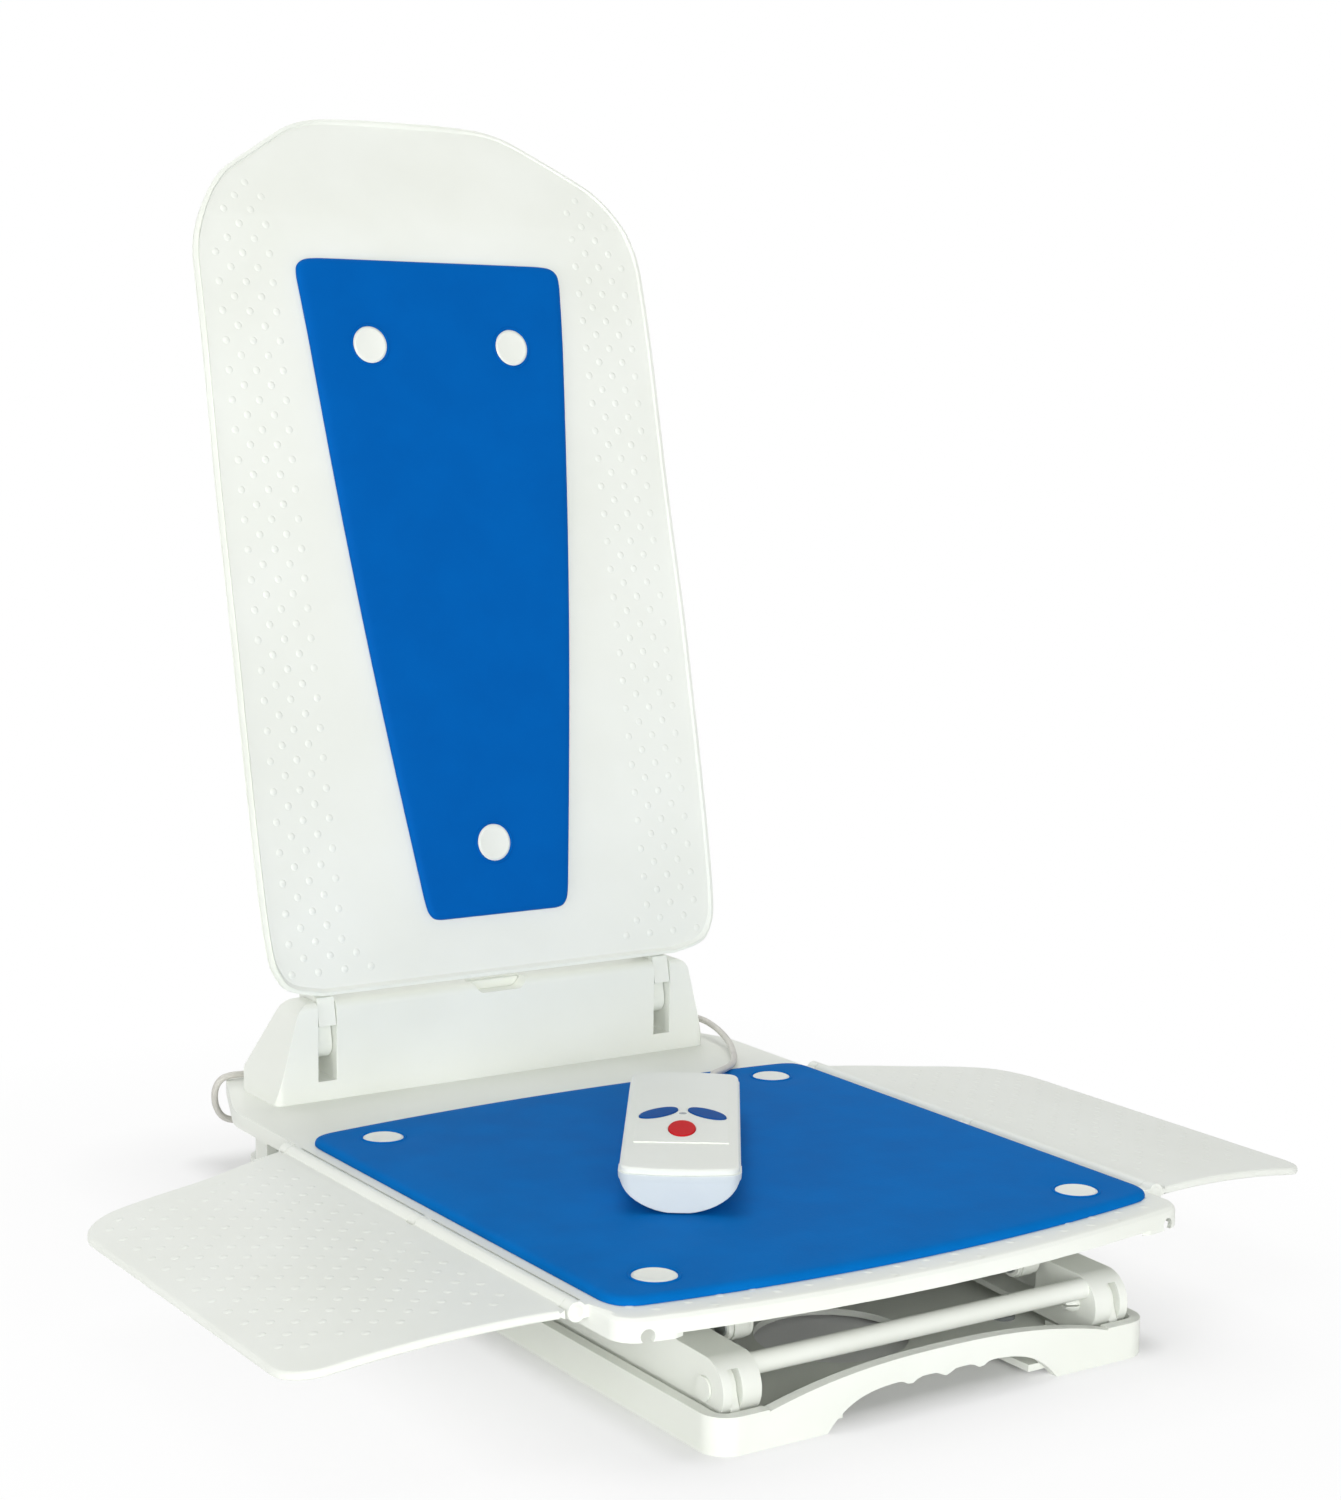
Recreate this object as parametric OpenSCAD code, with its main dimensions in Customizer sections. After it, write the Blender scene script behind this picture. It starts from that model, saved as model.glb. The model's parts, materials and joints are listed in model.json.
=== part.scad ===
// Bath lift: a scissor base, a powered seat with two side flaps, a reclining backrest and a corded handset
// Lengths are in millimetres. A place whose name ends in _at is measured back from the front edge of the base

/* [Base] */
// Width over the side rails
base_w = 303; // [299:1:313]
// Length from the front bar to the rear wall
base_len = 575; // [572:1:600]
// Height of the side rails
rail_h = 21; // [17:0.5:21.5]
// Wall of the side rails
rail_t = 7; // [5:0.1:8]
// Height of the upper face of the floor pan
pan_z = 7.4; // [6:0.1:7.6]
// Thickness of the floor pan
pan_t = 4; // [3:0.1:4.4]
// Radius of the round opening in the floor pan
pan_hole_r = 45; // [30:1:52]
// Height of the front carrying bar at its middle
bar_h = 33; // [29:0.5:35]
// Thickness of the front carrying bar
bar_t = 7; // [5:0.5:8]
// Width of the hand grip under the front bar
grip_w = 160; // [120:1:180]
// Height of the hand grip under the front bar
grip_h = 19.5; // [14:0.5:22]
// Pitch of the finger ridges in the grip
finger_pitch = 24.5; // [20:0.5:28]
// Radius of a suction cup
cup_r = 28; // [20:1:30]

/* [Scissor arms] */
// Distance of the front pivots behind the front edge
pivot_at = 27; // [26:0.5:30]
// Height of the front pivots
pivot_z = 28.5; // [28:0.5:31]
// Height of the pivots under the seat at rest
seat_pivot_z = 47; // [46:0.5:49]
// Length of an arm from its base end to the middle pivot
arm_low = 265; // [258:0.5:266]
// Length of an arm from its seat end to the middle pivot
arm_high = 234; // [226:0.5:238]
// Width of an outer arm
arm_w = 24.5; // [22:0.5:28]
// Radius of an outer arm's rounded nose
nose_r = 17.5; // [16.5:0.1:17.8]
// Radius of an outer arm's tail
tail_r = 11; // [10:0.5:12]
// Width of the slot in the nose that takes the base's lug
lug_slot_w = 6.6; // [5:0.1:8]
// Width of an inner arm
inner_w = 19; // [16:0.5:22]
// Radius of the tube that joins the outer arms
tube_r = 6; // [5:0.25:6.5]
// Radius of the pivot pins
pin_r = 4; // [3:0.25:5]
// Radius of the cross shafts
shaft_r = 5; // [4:0.25:5.5]
// Radius of the base rollers
roller_r = 12; // [9:0.5:14]

/* [Drive] */
// Radius of the lead screw over its thread
screw_r = 6; // [5:0.25:7]
// Pitch of the thread
screw_pitch = 5; // [4:0.5:8]
// Radius of the drive motor
motor_r = 18; // [14:0.5:19]
// Length of the drive motor
motor_len = 78; // [60:1:90]
// Length of the gearbox along the screw
gearbox_len = 40; // [30:1:46]

/* [Seat] */
// Width of the seat plate's rim beside the pad
seat_rim = 7.3; // [6.5:0.1:11]
// Set-back of the seat's front edge at its middle
seat_front_at = 3; // [0:0.5:6]
// Place of the seat's rear edge
seat_rear_at = 575; // [572:1:585]
// Height of the seat's upper face at rest
seat_top = 76; // [75:0.5:80]
// Thickness of the seat plate
plate_t = 4; // [3:0.1:4.5]
// Depth of the wall round the seat's edge, from its upper face
skirt_h = 10; // [8:0.5:12]
// Sweep of the front edge from its middle to its corners
seat_bow = 20; // [10:0.5:26]

/* [Side flaps] */
// Distance of a flap's hinge line from the seat's edge
hinge_out = 7; // [6.5:0.1:9]
// Width of a flap from its hinge line to its outer edge
flap_w = 154; // [130:1:170]
// Place of the flaps' front edge
flap_front_at = 54; // [48:1:60]
// Length of a flap along its hinge line
flap_len = 344; // [320:1:350]
// Thickness of a flap
flap_t = 3.6; // [3:0.1:5]
// Drop of a flap's outer edge below its hinge edge
flap_droop = 15; // [8:0.5:20]
// Radius of the hinge barrels
barrel_r = 5.5; // [5:0.1:6]

/* [Backrest] */
// Lean of the backrest at rest, in degrees
lean = 12.77; // [10:0.01:14]
// Height of the backrest from its lower edge to its crown
back_h = 600; // [570:1:620]
// Width of the backrest at its widest
back_w = 363; // [350:1:374]
// Thickness of the backrest's face
back_face_t = 4; // [3:0.1:5]
// Depth of the rim behind the backrest's face
back_rim = 13; // [11:0.5:13.5]
// Distance that the crown bends back
crown_bend = 22; // [10:0.5:26]

/* [Hinge housing] */
// Place of the housing's front face
house_at = 484; // [480:0.5:486]
// Height of the housing's top
house_top = 142; // [138:0.5:142.5]
// Depth of the housing's top, front to back
house_top_d = 25; // [22:0.5:26]
// Depth of the housing on the seat plate
house_d = 68; // [62:0.5:70]
// Width of the housing on the seat plate
house_w = 338; // [332:1:342]
// Wall of the housing
house_t = 3.5; // [2.5:0.1:4]
// Width of a slot that takes a backrest arm
slot_w = 13.6; // [12:0.1:15]
// Distance of a slot's middle from the middle of the seat
slot_x = 131.8; // [126:0.2:134]
// Height of a slot's floor
slot_z = 89; // [86:0.5:94]
// Width of the finger scoop in the top
scoop_w = 44; // [36:1:56]

/* [Pads] */
// Thickness of the pads
pad_t = 4.8; // [4:0.1:6]
// Width of the seat pad
pad_w = 377.4; // [360:0.2:380]
// Length of the seat pad along its side
pad_len = 359; // [330:1:364]
// Length of the backrest pad
back_pad_len = 453; // [420:1:458]
// Width of the backrest pad at its top
back_pad_top_w = 208; // [190:1:216]
// Width of the backrest pad at its bottom
back_pad_low_w = 108; // [90:1:120]
// Radius of a fixing stud's head
stud_r = 13; // [11:0.25:15]

/* [Handset] */
// Length of the handset
hand_len = 226; // [210:1:232]
// Width of the handset
hand_w = 70; // [66:0.5:74]
// Depth of the handset
hand_h = 26.5; // [25:0.5:31]
// Wall of the handset
hand_t = 2.5; // [2:0.1:3]
// Turn of the handset on the seat, in degrees
hand_turn = 34.7; // [30:0.1:40]

/* [Cord] */
// Diameter of the handset's cord
cord_d = 4.6; // [4:0.1:5]

/* [Hidden] */
$fn = 48;
// Overrun of every cut, running gap of a pin in its bore and free gap between moving pieces
over = 1;
run_gap = 0.05;
free_gap = 0.3;
shell_white = "#F0F2EC";
part_white = "#E6E8E2";
pad_blue = "#0A60B0";
stop_red = "#C8202A";
cord_grey = "#A8A49C";
steel_grey = "#B4B6B8";
rubber_grey = "#8C8F90";
dark_grey = "#4A4C50";

// Places across the part, from the side rails inwards
base_half = base_w / 2;
cheek_gap = 3.5;
cheek_x = base_half - rail_t - cheek_gap;
hub_x = cheek_x - arm_w;
cheek_t = 5.7;
lug_slot_x = cheek_x - cheek_t - lug_slot_w;
arm_space = 5.5;
inner_out_x = hub_x - arm_space;
inner_in_x = inner_out_x - inner_w;
tongue_w = 9;
tongue_x = inner_in_x + (inner_w - tongue_w) / 2;
roller_w = 14;
arm_gap = 1;
roller_x = inner_in_x - roller_w - arm_gap;
nut_half = 20;
shoe_w = 16;
shoe_x = 38;

// Scissor at rest: the lower ends keep their height, and so do the upper ends under the seat
arm_len = arm_low + arm_high;
rest_deg = asin((seat_pivot_z - pivot_z) / arm_len);
mid_at = pivot_at + arm_low * cos(rest_deg);
mid_z = pivot_z + arm_low * sin(rest_deg);
seat_pivot_at = mid_at - arm_high * cos(rest_deg);
roll_at = mid_at + arm_low * cos(rest_deg);
nut_at = pivot_at + arm_len * cos(rest_deg);
mid_boss_r = 12;
inner_front_r = 8.5;
inner_rear_r = 10;
arm_wall = 3.5;
pocket_margin = 17;
tube_lean = 26;
tube_reach = nose_r - tube_r;
tube_off = [-tube_reach * sin(tube_lean), tube_reach * cos(tube_lean)];
lug_gap = 0.5;
lug_inset = 5;
lug_r = nose_r - lug_inset;
lug_reach = pivot_at - rail_t - lug_gap;
foot_h = 3;
foot_len = 43;
foot_rear = 25;
cap_r = 6.7;
cap_t = 1.2;
barb_flare = 0.7;
barb_r = pin_r + barb_flare;
barb_len = 8;
slit_w = 1.2;

// Base details
base_corner_r = 16;
base_inner_r = 7;
pan_hole_at = 104;
bar_end_h = 20;
bar_half = 118;
bar_samples = 24;
bar_power = 2.4;
grip_power = 5;
finger_h = 3;
finger_half = 1.5 * finger_pitch;
finger_power = 3;
finger_recess_w = 130;
finger_recess_d = 34;
track_w = 18;
track_z = pivot_z - roller_r - free_gap;
track_from = 284;
post_h = 52;
post_at = 536;
post_len = 18;
cup_shares = [0.13, 0.895];
cup_x = 104;
cup_lip = 5;
cup_t = 1.4;
cup_stem_r = 4.6;
cup_head_r = 7;
cup_head_h = 2.4;

// Seat details
pad_half = pad_w / 2;
seat_half = pad_half + seat_rim;
plate_under = seat_top - plate_t;
skirt_z = seat_top - skirt_h;
skirt_t = 3;
seat_corner_r = 16;
seat_sweep = 83;
seat_sweep_r = 60;
seat_rear_in = 32;
seat_rear_r = 12;
seat_samples = 10;
lobe_r = 30;
lobe_h = 3;
lobe_in = 24;
notch_r = 4;
notch_in = 15;
rib_t = 2.6;
rib_h = 6;
rib_low = plate_under - rib_h;
rib_side_shares = [0.35, 0.83];
rib_cross_shares = [0.23, 0.42, 0.73];
rib_end_gap = 12;
hinge_x = seat_half + hinge_out;
hinge_drop = 3;
hinge_z = seat_top - hinge_drop;
hinge_pin_r = 2.5;
knuckle_l = 8;
knuckle_web = 4;
flap_rear_at = flap_front_at + flap_len;
knuckle_ats = [flap_front_at, (flap_front_at + flap_rear_at - knuckle_l) / 2, flap_rear_at - knuckle_l];
fork_t = 3;
fork_gap = 0.4;
fork_r = 8;
fork_flange = 32;
fork_flange_t = 3;
rail_flange_w = 24;
rail_flange_t = 3;
rail_web_t = 6;
rail_from = 264;
shoe_half = 9;
shoe_len = 28;
nut_len = 36;
nut_h = 24;

// Drive details: the gearbox and motor lie in front of the screw, under the seat
screw_z = seat_pivot_z;
thread_depth = 1.2;
screw_core_r = screw_r - thread_depth;
screw_from = 252;
screw_to = 546;
journal_r = 4;
bearing_len = 12;
bearing_half = 16;
bearing_drop = 10;
gearbox_half = 22;
motor_cap_len = 8;
motor_cap_r = 8;
gearbox_at = screw_from - bearing_len - gearbox_len;

// Hinge housing details
house_top_w = 304;
house_front_r = 6;
house_rear_r = 22;
house_corner_r = 12;
house_edge_r = 6;
house_step_at = house_at + house_top_d;
house_rear_at = house_at + house_d;
slot_floor_d = 48;
back_pin_at = 500;
back_pin_z = 112;
back_pin_out = 3;
scoop_h = 7;
scoop_r = 6;
latch_w = 40;
latch_t = 3;
latch_h = 21;
latch_back = 12;
latch_gap = 0.4;
latch_travel = 5;
latch_box_w = 56;
latch_box_h = 34;
screw_shank_r = 2;
screw_head_r = 4;
screw_head_h = 2.4;
boss_r = 6;
boss_h = 18;
house_screw_shares = [-0.45, -0.17, 0.17, 0.45];
house_screw_in = 20;
house_screw_at = house_at + house_screw_in;
house_screw_xs = [for (c = house_screw_shares) c * house_w];

// Backrest details, along the face from back_at and back_z
back_at = 476.45;
back_z = 135;
back_low = 13;
back_top = back_low + back_h;
back_half = back_w / 2;
back_wall = 3.5;
bend_share = 0.75;
bend_from = back_low + back_h * bend_share;
bend_samples = 12;
back_outline_shares = [[0.93, 0.0, 0.17], [0.985, 0.11, 0.9], [1.0, 0.36, 1.6], [0.985, 0.66, 1.6],
  [0.956, 0.889, 0.32], [0.424, 1.0, 0.54]];
back_rim_in = 6;
back_rib_shares = [0.33, 0.726];
back_rib_t = 3;
back_rib_h = 7;
back_cross_shares = [0.12, 0.34, 0.56, 0.74];
swing_arm_t = 12.4;
swing_arm_up = 150;
swing_arm_top_d = 20;
swing_arm_mid = [30, 60];
swing_arm_r = 10;
swing_flange = [9, -7];
arm_screw_shares = [0.33, 0.57, 0.8];
arm_screw_ss = [for (c = arm_screw_shares) c * swing_arm_up];
arm_screw_d = 10;

// Pad details
pad_top = seat_top + pad_t;
pad_side_at = 40;
pad_bow = 17;
pad_corner_r = 15;
pad_edge_r = 7;
pad_edge_share = 0.35;
pad_crown = 0.8;
pad_rear_bow = 13;
pad_gap = 0.1;
stud_head_h = 2.4;
stud_dish = 0.7;
stud_dish_shares = [[0, 1], [0.55, 0.7], [0.85, 0], [1, 1.3]];
stud_shank_r = 4.8;
stud_tail = 3;
stud_gap = 0.3;
seat_stud_in = 40;
seat_stud_x = pad_half - seat_stud_in;
seat_stud_shares = [0.0675, 0.927];
seat_stud_ats = [for (c = seat_stud_shares) pad_side_at + pad_len * c];
back_pad_low = 54;
back_pad_bulge = 4;
back_pad_corner_r = 11;
back_stud_shares = [[-0.532, 0.867], [0.532, 0.867], [0, 0.108]];
back_stud_places = [for (c = back_stud_shares)
  [c[0] * back_pad_top_w / 2, back_pad_low + c[1] * back_pad_len]];
edge_shares = [0, 0.08, 0.3, 0.6, 1];
pad_columns = 5;
seat_pad_rows = 9;
back_pad_rows = 22;

// Handset details, in its own frame: its length along y, its keel at z = 0
hand_x = -17.5;
hand_at = 234;
hand_cover_t = 4.4;
hand_cover_in = 0.7;
hull_h = hand_h - hand_cover_t;
hand_samples = 24;
hand_corner_r = 9;
hand_cap_len = 25;
hand_bow = 5;
hand_panel_h = 0.8;
hand_panel_w = 56;
hand_panel_from = -57;
hand_panel_to = 98;
keel_flat = 0.4;
leaf_a = 16;
leaf_b = 7.5;
leaf_turn = 50;
leaf_x = 14.8;
leaf_y = 5.5;
stop_a = 8.2;
stop_b = 17;
stop_y = -28.5;
button_rise = 0.7;
button_flange = 1.2;
button_flange_t = 1;
button_gap = 0.3;
lens_r = 2.4;
lens_y = 6.5;
board_t = 1.6;
board_w = 46;
board_len = 90;
board_y = -45;
board_drop = 5;
cell_w = 40;
cell_len = 96;
cell_h = 10;
cell_y = -70;
relief_x = 18;
relief_z = 14;
relief_len = 24;
relief_r = 5;
relief_tip_r = 3.2;

// Gland under the rear left corner, and the cord's route from it over the seat to the handset
gland_x = -114;
gland_at = 560;
gland_w = 14;
gland_d = 14;
gland_low = 43;
gland_z = 50;
gland_len = 16;
cord_sides = 10;
cord_steps = 2;
cord_route = [[-144, 560, 50], [-150, 560, 50], [-157, 560.5, 49.2], [-165, 561.5, 49],
  [-171.8, 562.8, 52], [-175.8, 564, 58.8], [-176.5, 565, 66.5], [-175, 565, 73],
  [-171, 564.8, 77.5], [-164, 564.3, 79.2], [-155, 563.8, 79], [-144, 563.5, 78.8],
  [-130, 563.5, 78.8], [-100, 563.5, 78.8], [-60, 563.5, 78.8], [-20, 563.5, 78.8], [20, 563.5, 78.8],
  [60, 563.5, 78.8], [100, 563.5, 78.8], [130, 563.5, 78.8], [145, 563.5, 78.8], [155, 562, 79],
  [163.5, 557, 80], [171, 548.5, 82.3], [176.8, 537, 85.4], [181, 523, 87.6], [183.3, 508, 88],
  [182.6, 492, 86.5], [179.3, 476, 84.5], [173.7, 460, 82.9], [167, 446, 81.6], [159.5, 433, 80.9],
  [151.2, 421, 80.9], [143.8, 412, 81.4], [136.1, 404, 82.4], [127.6, 396, 83.7], [119.1, 388, 85.3],
  [109.6, 378.5, 87.6], [101, 369, 90.1], [92.4, 359, 92.9], [84, 349, 95.3], [79.5, 342.5, 95.8],
  [75.8, 337.2, 95.9]];

// The part's origin is on the floor, under the middle of its length
rim_top = back_top - back_rim_in;
rear_u = back_at + rim_top * sin(lean) + (bend(rim_top) + back_rim) * cos(lean);
mid_u = rear_u / 2;

// Points and outlines

function unit(v) = v / norm(v);

// Outline with each corner [x, y, r] rounded to its radius, within half of its sides
function rounded(pts, steps = 6) = let (count = len(pts), half_share = 0.49) [
  for (i = [0 : count - 1])
    let (p = [pts[i][0], pts[i][1]], r = pts[i][2],
      a = pts[(i + count - 1) % count], b = pts[(i + 1) % count],
      va = [a[0], a[1]] - p, vb = [b[0], b[1]] - p, ua = unit(va), ub = unit(vb),
      half = acos(max(-1, min(1, ua * ub))) / 2, straight = half > 89.5)
      for (q = (r == 0 || straight) ? [p] :
        let (t = min(r / tan(half), norm(va) * half_share, norm(vb) * half_share), rr = t * tan(half),
          c = p + unit(ua + ub) * rr / sin(half), s = p + ua * t - c, e = p + ub * t - c,
          a0 = atan2(s[1], s[0]), turn = (atan2(e[1], e[0]) - a0 + 540) % 360 - 180)
          [for (k = [0 : steps]) c + rr * [cos(a0 + turn * k / steps), sin(a0 + turn * k / steps)]]) q];

// Counterclockwise outline moved inwards by d
function inset(pts, d) = let (count = len(pts)) [
  for (i = [0 : count - 1])
    let (p = pts[i], e0 = unit(p - pts[(i + count - 1) % count]), e1 = unit(pts[(i + 1) % count] - p),
      n0 = [-e0[1], e0[0]], n1 = [-e1[1], e1[0]])
      p + d * (n0 + n1) / (1 + n0 * n1)];

// Right half of a closed outline, with its mirror image
function both_halves(pts) = concat(pts,
  [for (i = [len(pts) - 1 : -1 : 0]) [-pts[i][0], pts[i][1], pts[i][2]]]);

function arc(centre, r, from, to, steps = 24) = [
  for (k = [0 : steps]) let (t = from + (to - from) * k / steps) centre + r * [cos(t), sin(t)]];

function ellipse(a, b, turn = 0, steps = 32) = [
  for (k = [0 : steps - 1]) let (t = 360 * k / steps)
    [a * cos(t) * cos(turn) - b * sin(t) * sin(turn), a * cos(t) * sin(turn) + b * sin(t) * cos(turn)]];

// Closed solid between an upper and a lower grid of points
module grid_solid(upper, lower) {
  rows = len(upper);
  cols = len(upper[0]);
  size = rows * cols;
  points = [for (g = [upper, lower]) for (row = g) for (p = row) p];
  quads = concat(
    [for (i = [0 : rows - 2]) for (j = [0 : cols - 2]) let (k = i * cols + j)
      [k, k + cols, k + cols + 1, k + 1]],
    [for (i = [0 : rows - 2]) for (j = [0 : cols - 2]) let (k = size + i * cols + j)
      [k, k + 1, k + cols + 1, k + cols]],
    [for (j = [0 : cols - 2]) [j, j + 1, size + j + 1, size + j]],
    [for (j = [0 : cols - 2]) let (k = (rows - 1) * cols + j) [k + 1, k, size + k, size + k + 1]],
    [for (i = [0 : rows - 2]) let (k = i * cols) [k + cols, k, size + k, size + k + cols]],
    [for (i = [0 : rows - 2]) let (k = i * cols + cols - 1) [k, k + cols, size + k + cols, size + k]]);
  polyhedron(points, [for (q = quads) for (f = [[q[0], q[1], q[2]], [q[0], q[2], q[3]]]) f]);
}

// Moves and extrusions

module placed() translate([0, -mid_u, 0]) children();
module from_x(x, w) translate([x, 0, 0]) rotate([90, 0, 90]) linear_extrude(w) children();
module from_y(y, l) translate([0, y + l, 0]) rotate([90, 0, 0]) linear_extrude(l) children();
module from_z(z, h) translate([0, 0, z]) linear_extrude(h) children();
module box(low, high) translate(low) cube(high - low);
module rod_x(x0, x1, r) translate([x0, 0, 0]) rotate([0, 90, 0]) cylinder(h = x1 - x0, r = r);
module rod_y(y0, y1, r) translate([0, y0, 0]) rotate([-90, 0, 0]) cylinder(h = y1 - y0, r = r);
module rod_z(z0, z1, r) translate([0, 0, z0]) cylinder(h = z1 - z0, r = r);
module left() mirror([1, 0, 0]) children();
module both_sides() {
  children();
  left() children();
}
module at_pivot() placed() translate([0, pivot_at, pivot_z]) children();
module at_outer() at_pivot() rotate([rest_deg, 0, 0]) children();
module at_inner() placed() translate([0, mid_at, mid_z]) rotate([-rest_deg, 0, 0]) children();
module at_seat_pivot() placed() translate([0, seat_pivot_at, seat_pivot_z]) children();
module at_rollers() placed() translate([0, roll_at, pivot_z]) children();
module at_nut() placed() translate([0, nut_at, seat_pivot_z]) children();
module at_screw() placed() translate([0, 0, screw_z]) children();
module at_flap_hinge() placed() translate([hinge_x, 0, hinge_z]) children();
module at_back() placed() translate([0, back_at, back_z]) rotate([-lean, 0, 0]) children();
module at_house_screws() for (x = house_screw_xs) translate([x, house_screw_at, 0]) children();
module at_back_pin() placed() translate([0, back_pin_at, back_pin_z]) children();
module at_handset() placed()
  translate([hand_x, hand_at, pad_top + pad_crown + free_gap]) rotate([0, 0, -hand_turn]) children();

// Base

function base_plan(d, r) = let (h = base_half - d)
  rounded([[-h, d, r], [h, d, r], [h, base_len - d, r], [-h, base_len - d, r]]);

function bar_top_z(x) = bar_end_h + (bar_h - bar_end_h) * (1 - pow(abs(x) / bar_half, bar_power));
function finger_z(x) = abs(x) > finger_half ? 0
  : finger_h * pow((1 + cos(360 * x / finger_pitch)) / 2, finger_power);
function grip_z(x) = grip_h * (1 - pow(abs(x) / (grip_w / 2), grip_power)) - finger_z(x);

module front_bar() {
  n = bar_samples;
  top = [for (k = [n : -1 : -n]) let (x = bar_half * k / n) [x, bar_top_z(x)]];
  arch = [for (k = [-n : n]) let (x = grip_w / 2 * k / n) [x, max(0, grip_z(x))]];
  from_y(0, bar_t) polygon(concat([[-bar_half, 0]], arch, [[bar_half, 0]], top));
}

module at_cups() for (c = cup_shares) both_sides() translate([cup_x, base_len * c, 0]) children();

module base_frame() color(shell_white) placed() difference() {
  union() {
    difference() {
      from_z(0, rail_h) polygon(base_plan(0, base_corner_r));
      from_z(-over, rail_h + 2 * over) polygon(base_plan(rail_t, base_inner_r));
      box([-bar_half, -over, -over], [bar_half, bar_t, rail_h + over]);
    }
    difference() {
      from_z(pan_z - pan_t, pan_t) polygon(base_plan(rail_t / 2, base_corner_r));
      box([-grip_w / 2, -over, 0], [grip_w / 2, bar_t, pan_z + over]);
      box([-finger_recess_w / 2, 0, 0], [finger_recess_w / 2, bar_t + finger_recess_d, pan_z + over]);
    }
    front_bar();
    both_sides() {
      box([roller_x - (track_w - roller_w) / 2, track_from, pan_z - pan_t / 2],
        [roller_x + (track_w + roller_w) / 2, base_len - rail_t / 2, track_z]);
      box([base_half - rail_t, post_at, 0], [base_half, post_at + post_len, post_h]);
    }
  }
  translate([0, pan_hole_at, 0]) rod_z(-over, pan_z + over, pan_hole_r);
  at_cups() rod_z(0, pan_z + over, cup_stem_r + run_gap);
}

module pivot_block() color(part_white) at_pivot() difference() {
  foot_z = pan_z - pivot_z;
  union() {
    from_x(lug_slot_x + free_gap, lug_slot_w - 2 * free_gap) polygon(concat(
      [[-lug_reach, foot_z + foot_h], [-lug_reach, foot_z], [lug_r, foot_z]], arc([0, 0], lug_r, 0, 180)));
    box([hub_x, foot_rear - foot_len, foot_z], [cheek_x, foot_rear, foot_z + foot_h]);
  }
  rod_x(hub_x - over, cheek_x + over, pin_r + run_gap);
}
module pivot_block_right() pivot_block();
module pivot_block_left() left() pivot_block();

// Pivot pin with a flat head outside and a split, barbed tip inside
module front_pin() color(part_white) at_pivot() difference() {
  barb_x = hub_x - free_gap;
  tip_x = barb_x - barb_len;
  head_x = cheek_x + free_gap;
  rotate([0, 90, 0]) rotate_extrude() polygon([[0, tip_x], [barb_r / 2, tip_x], [barb_r, barb_x - barb_len / 3],
    [barb_r, barb_x], [pin_r, barb_x], [pin_r, head_x], [cap_r, head_x], [cap_r, head_x + cap_t],
    [0, head_x + cap_t]]);
  box([tip_x - over, -barb_r, -slit_w / 2], [barb_x, barb_r, slit_w / 2]);
}
module front_pin_right() front_pin();
module front_pin_left() left() front_pin();

module suction_cups() color(rubber_grey) placed() at_cups() {
  top = pan_z - pan_t;
  head = pan_z + free_gap / 3;
  rotate_extrude() polygon([[0, top], [cup_stem_r, top], [cup_stem_r, head], [cup_head_r, head],
    [cup_head_r, head + cup_head_h], [0, head + cup_head_h]]);
  rotate_extrude() polygon([[0, top], [cup_stem_r + cup_lip, top], [cup_r, cup_t], [cup_r, 0],
    [cup_r - cup_lip, 0], [cup_stem_r, top - cup_t], [0, top - cup_t]]);
}

// Scissor arms

module outer_arm() color(part_white) at_outer() difference() {
  turn = acos((nose_r - tail_r) / arm_len);
  slot_r = lug_r + lug_gap;
  far = nose_r + over;
  from_x(hub_x, arm_w)
    polygon(concat(arc([arm_len, 0], tail_r, -turn, turn), arc([0, 0], nose_r, turn, 360 - turn)));
  from_x(lug_slot_x, lug_slot_w)
    polygon(concat([[-far, -far], [slot_r, -far]], arc([0, 0], slot_r, 0, 90), [[-far, slot_r]]));
  rod_x(hub_x - over, cheek_x + over, pin_r + run_gap);
  translate([0, arm_low, 0]) rod_x(hub_x - over, cheek_x + over, pin_r + run_gap);
  translate([0, arm_len, 0]) rod_x(hub_x - over, cheek_x + over, shaft_r + run_gap);
  for (span = [[nose_r + pocket_margin, arm_low - pocket_margin],
    [arm_low + pocket_margin, arm_len - pocket_margin]])
    from_x(hub_x - over, arm_w - cheek_t + over) polygon([for (c = [[0, -1], [1, -1], [1, 1], [0, 1]])
      let (y = span[c[0]], half = nose_r + (tail_r - nose_r) * y / arm_len - arm_wall) [y, c[1] * half]]);
}
module outer_arm_right() outer_arm();
module outer_arm_left() left() outer_arm();

module torque_tube() color(part_white) at_outer() translate([0, tube_off[0], tube_off[1]]) difference() {
  rod_x(-hub_x, hub_x, tube_r);
  rod_x(-hub_x - over, hub_x + over, tube_r - arm_wall);
}

module mid_pins() color(steel_grey) at_outer() translate([0, arm_low, 0]) both_sides() {
  rod_x(inner_in_x - cap_t, cheek_x, pin_r);
  rod_x(inner_in_x - free_gap - cap_t, inner_in_x - free_gap, cap_r);
}

module rear_shafts() color(steel_grey) at_outer() translate([0, arm_len, 0]) both_sides()
  rod_x(screw_r + arm_wall, cheek_x, shaft_r);

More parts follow.
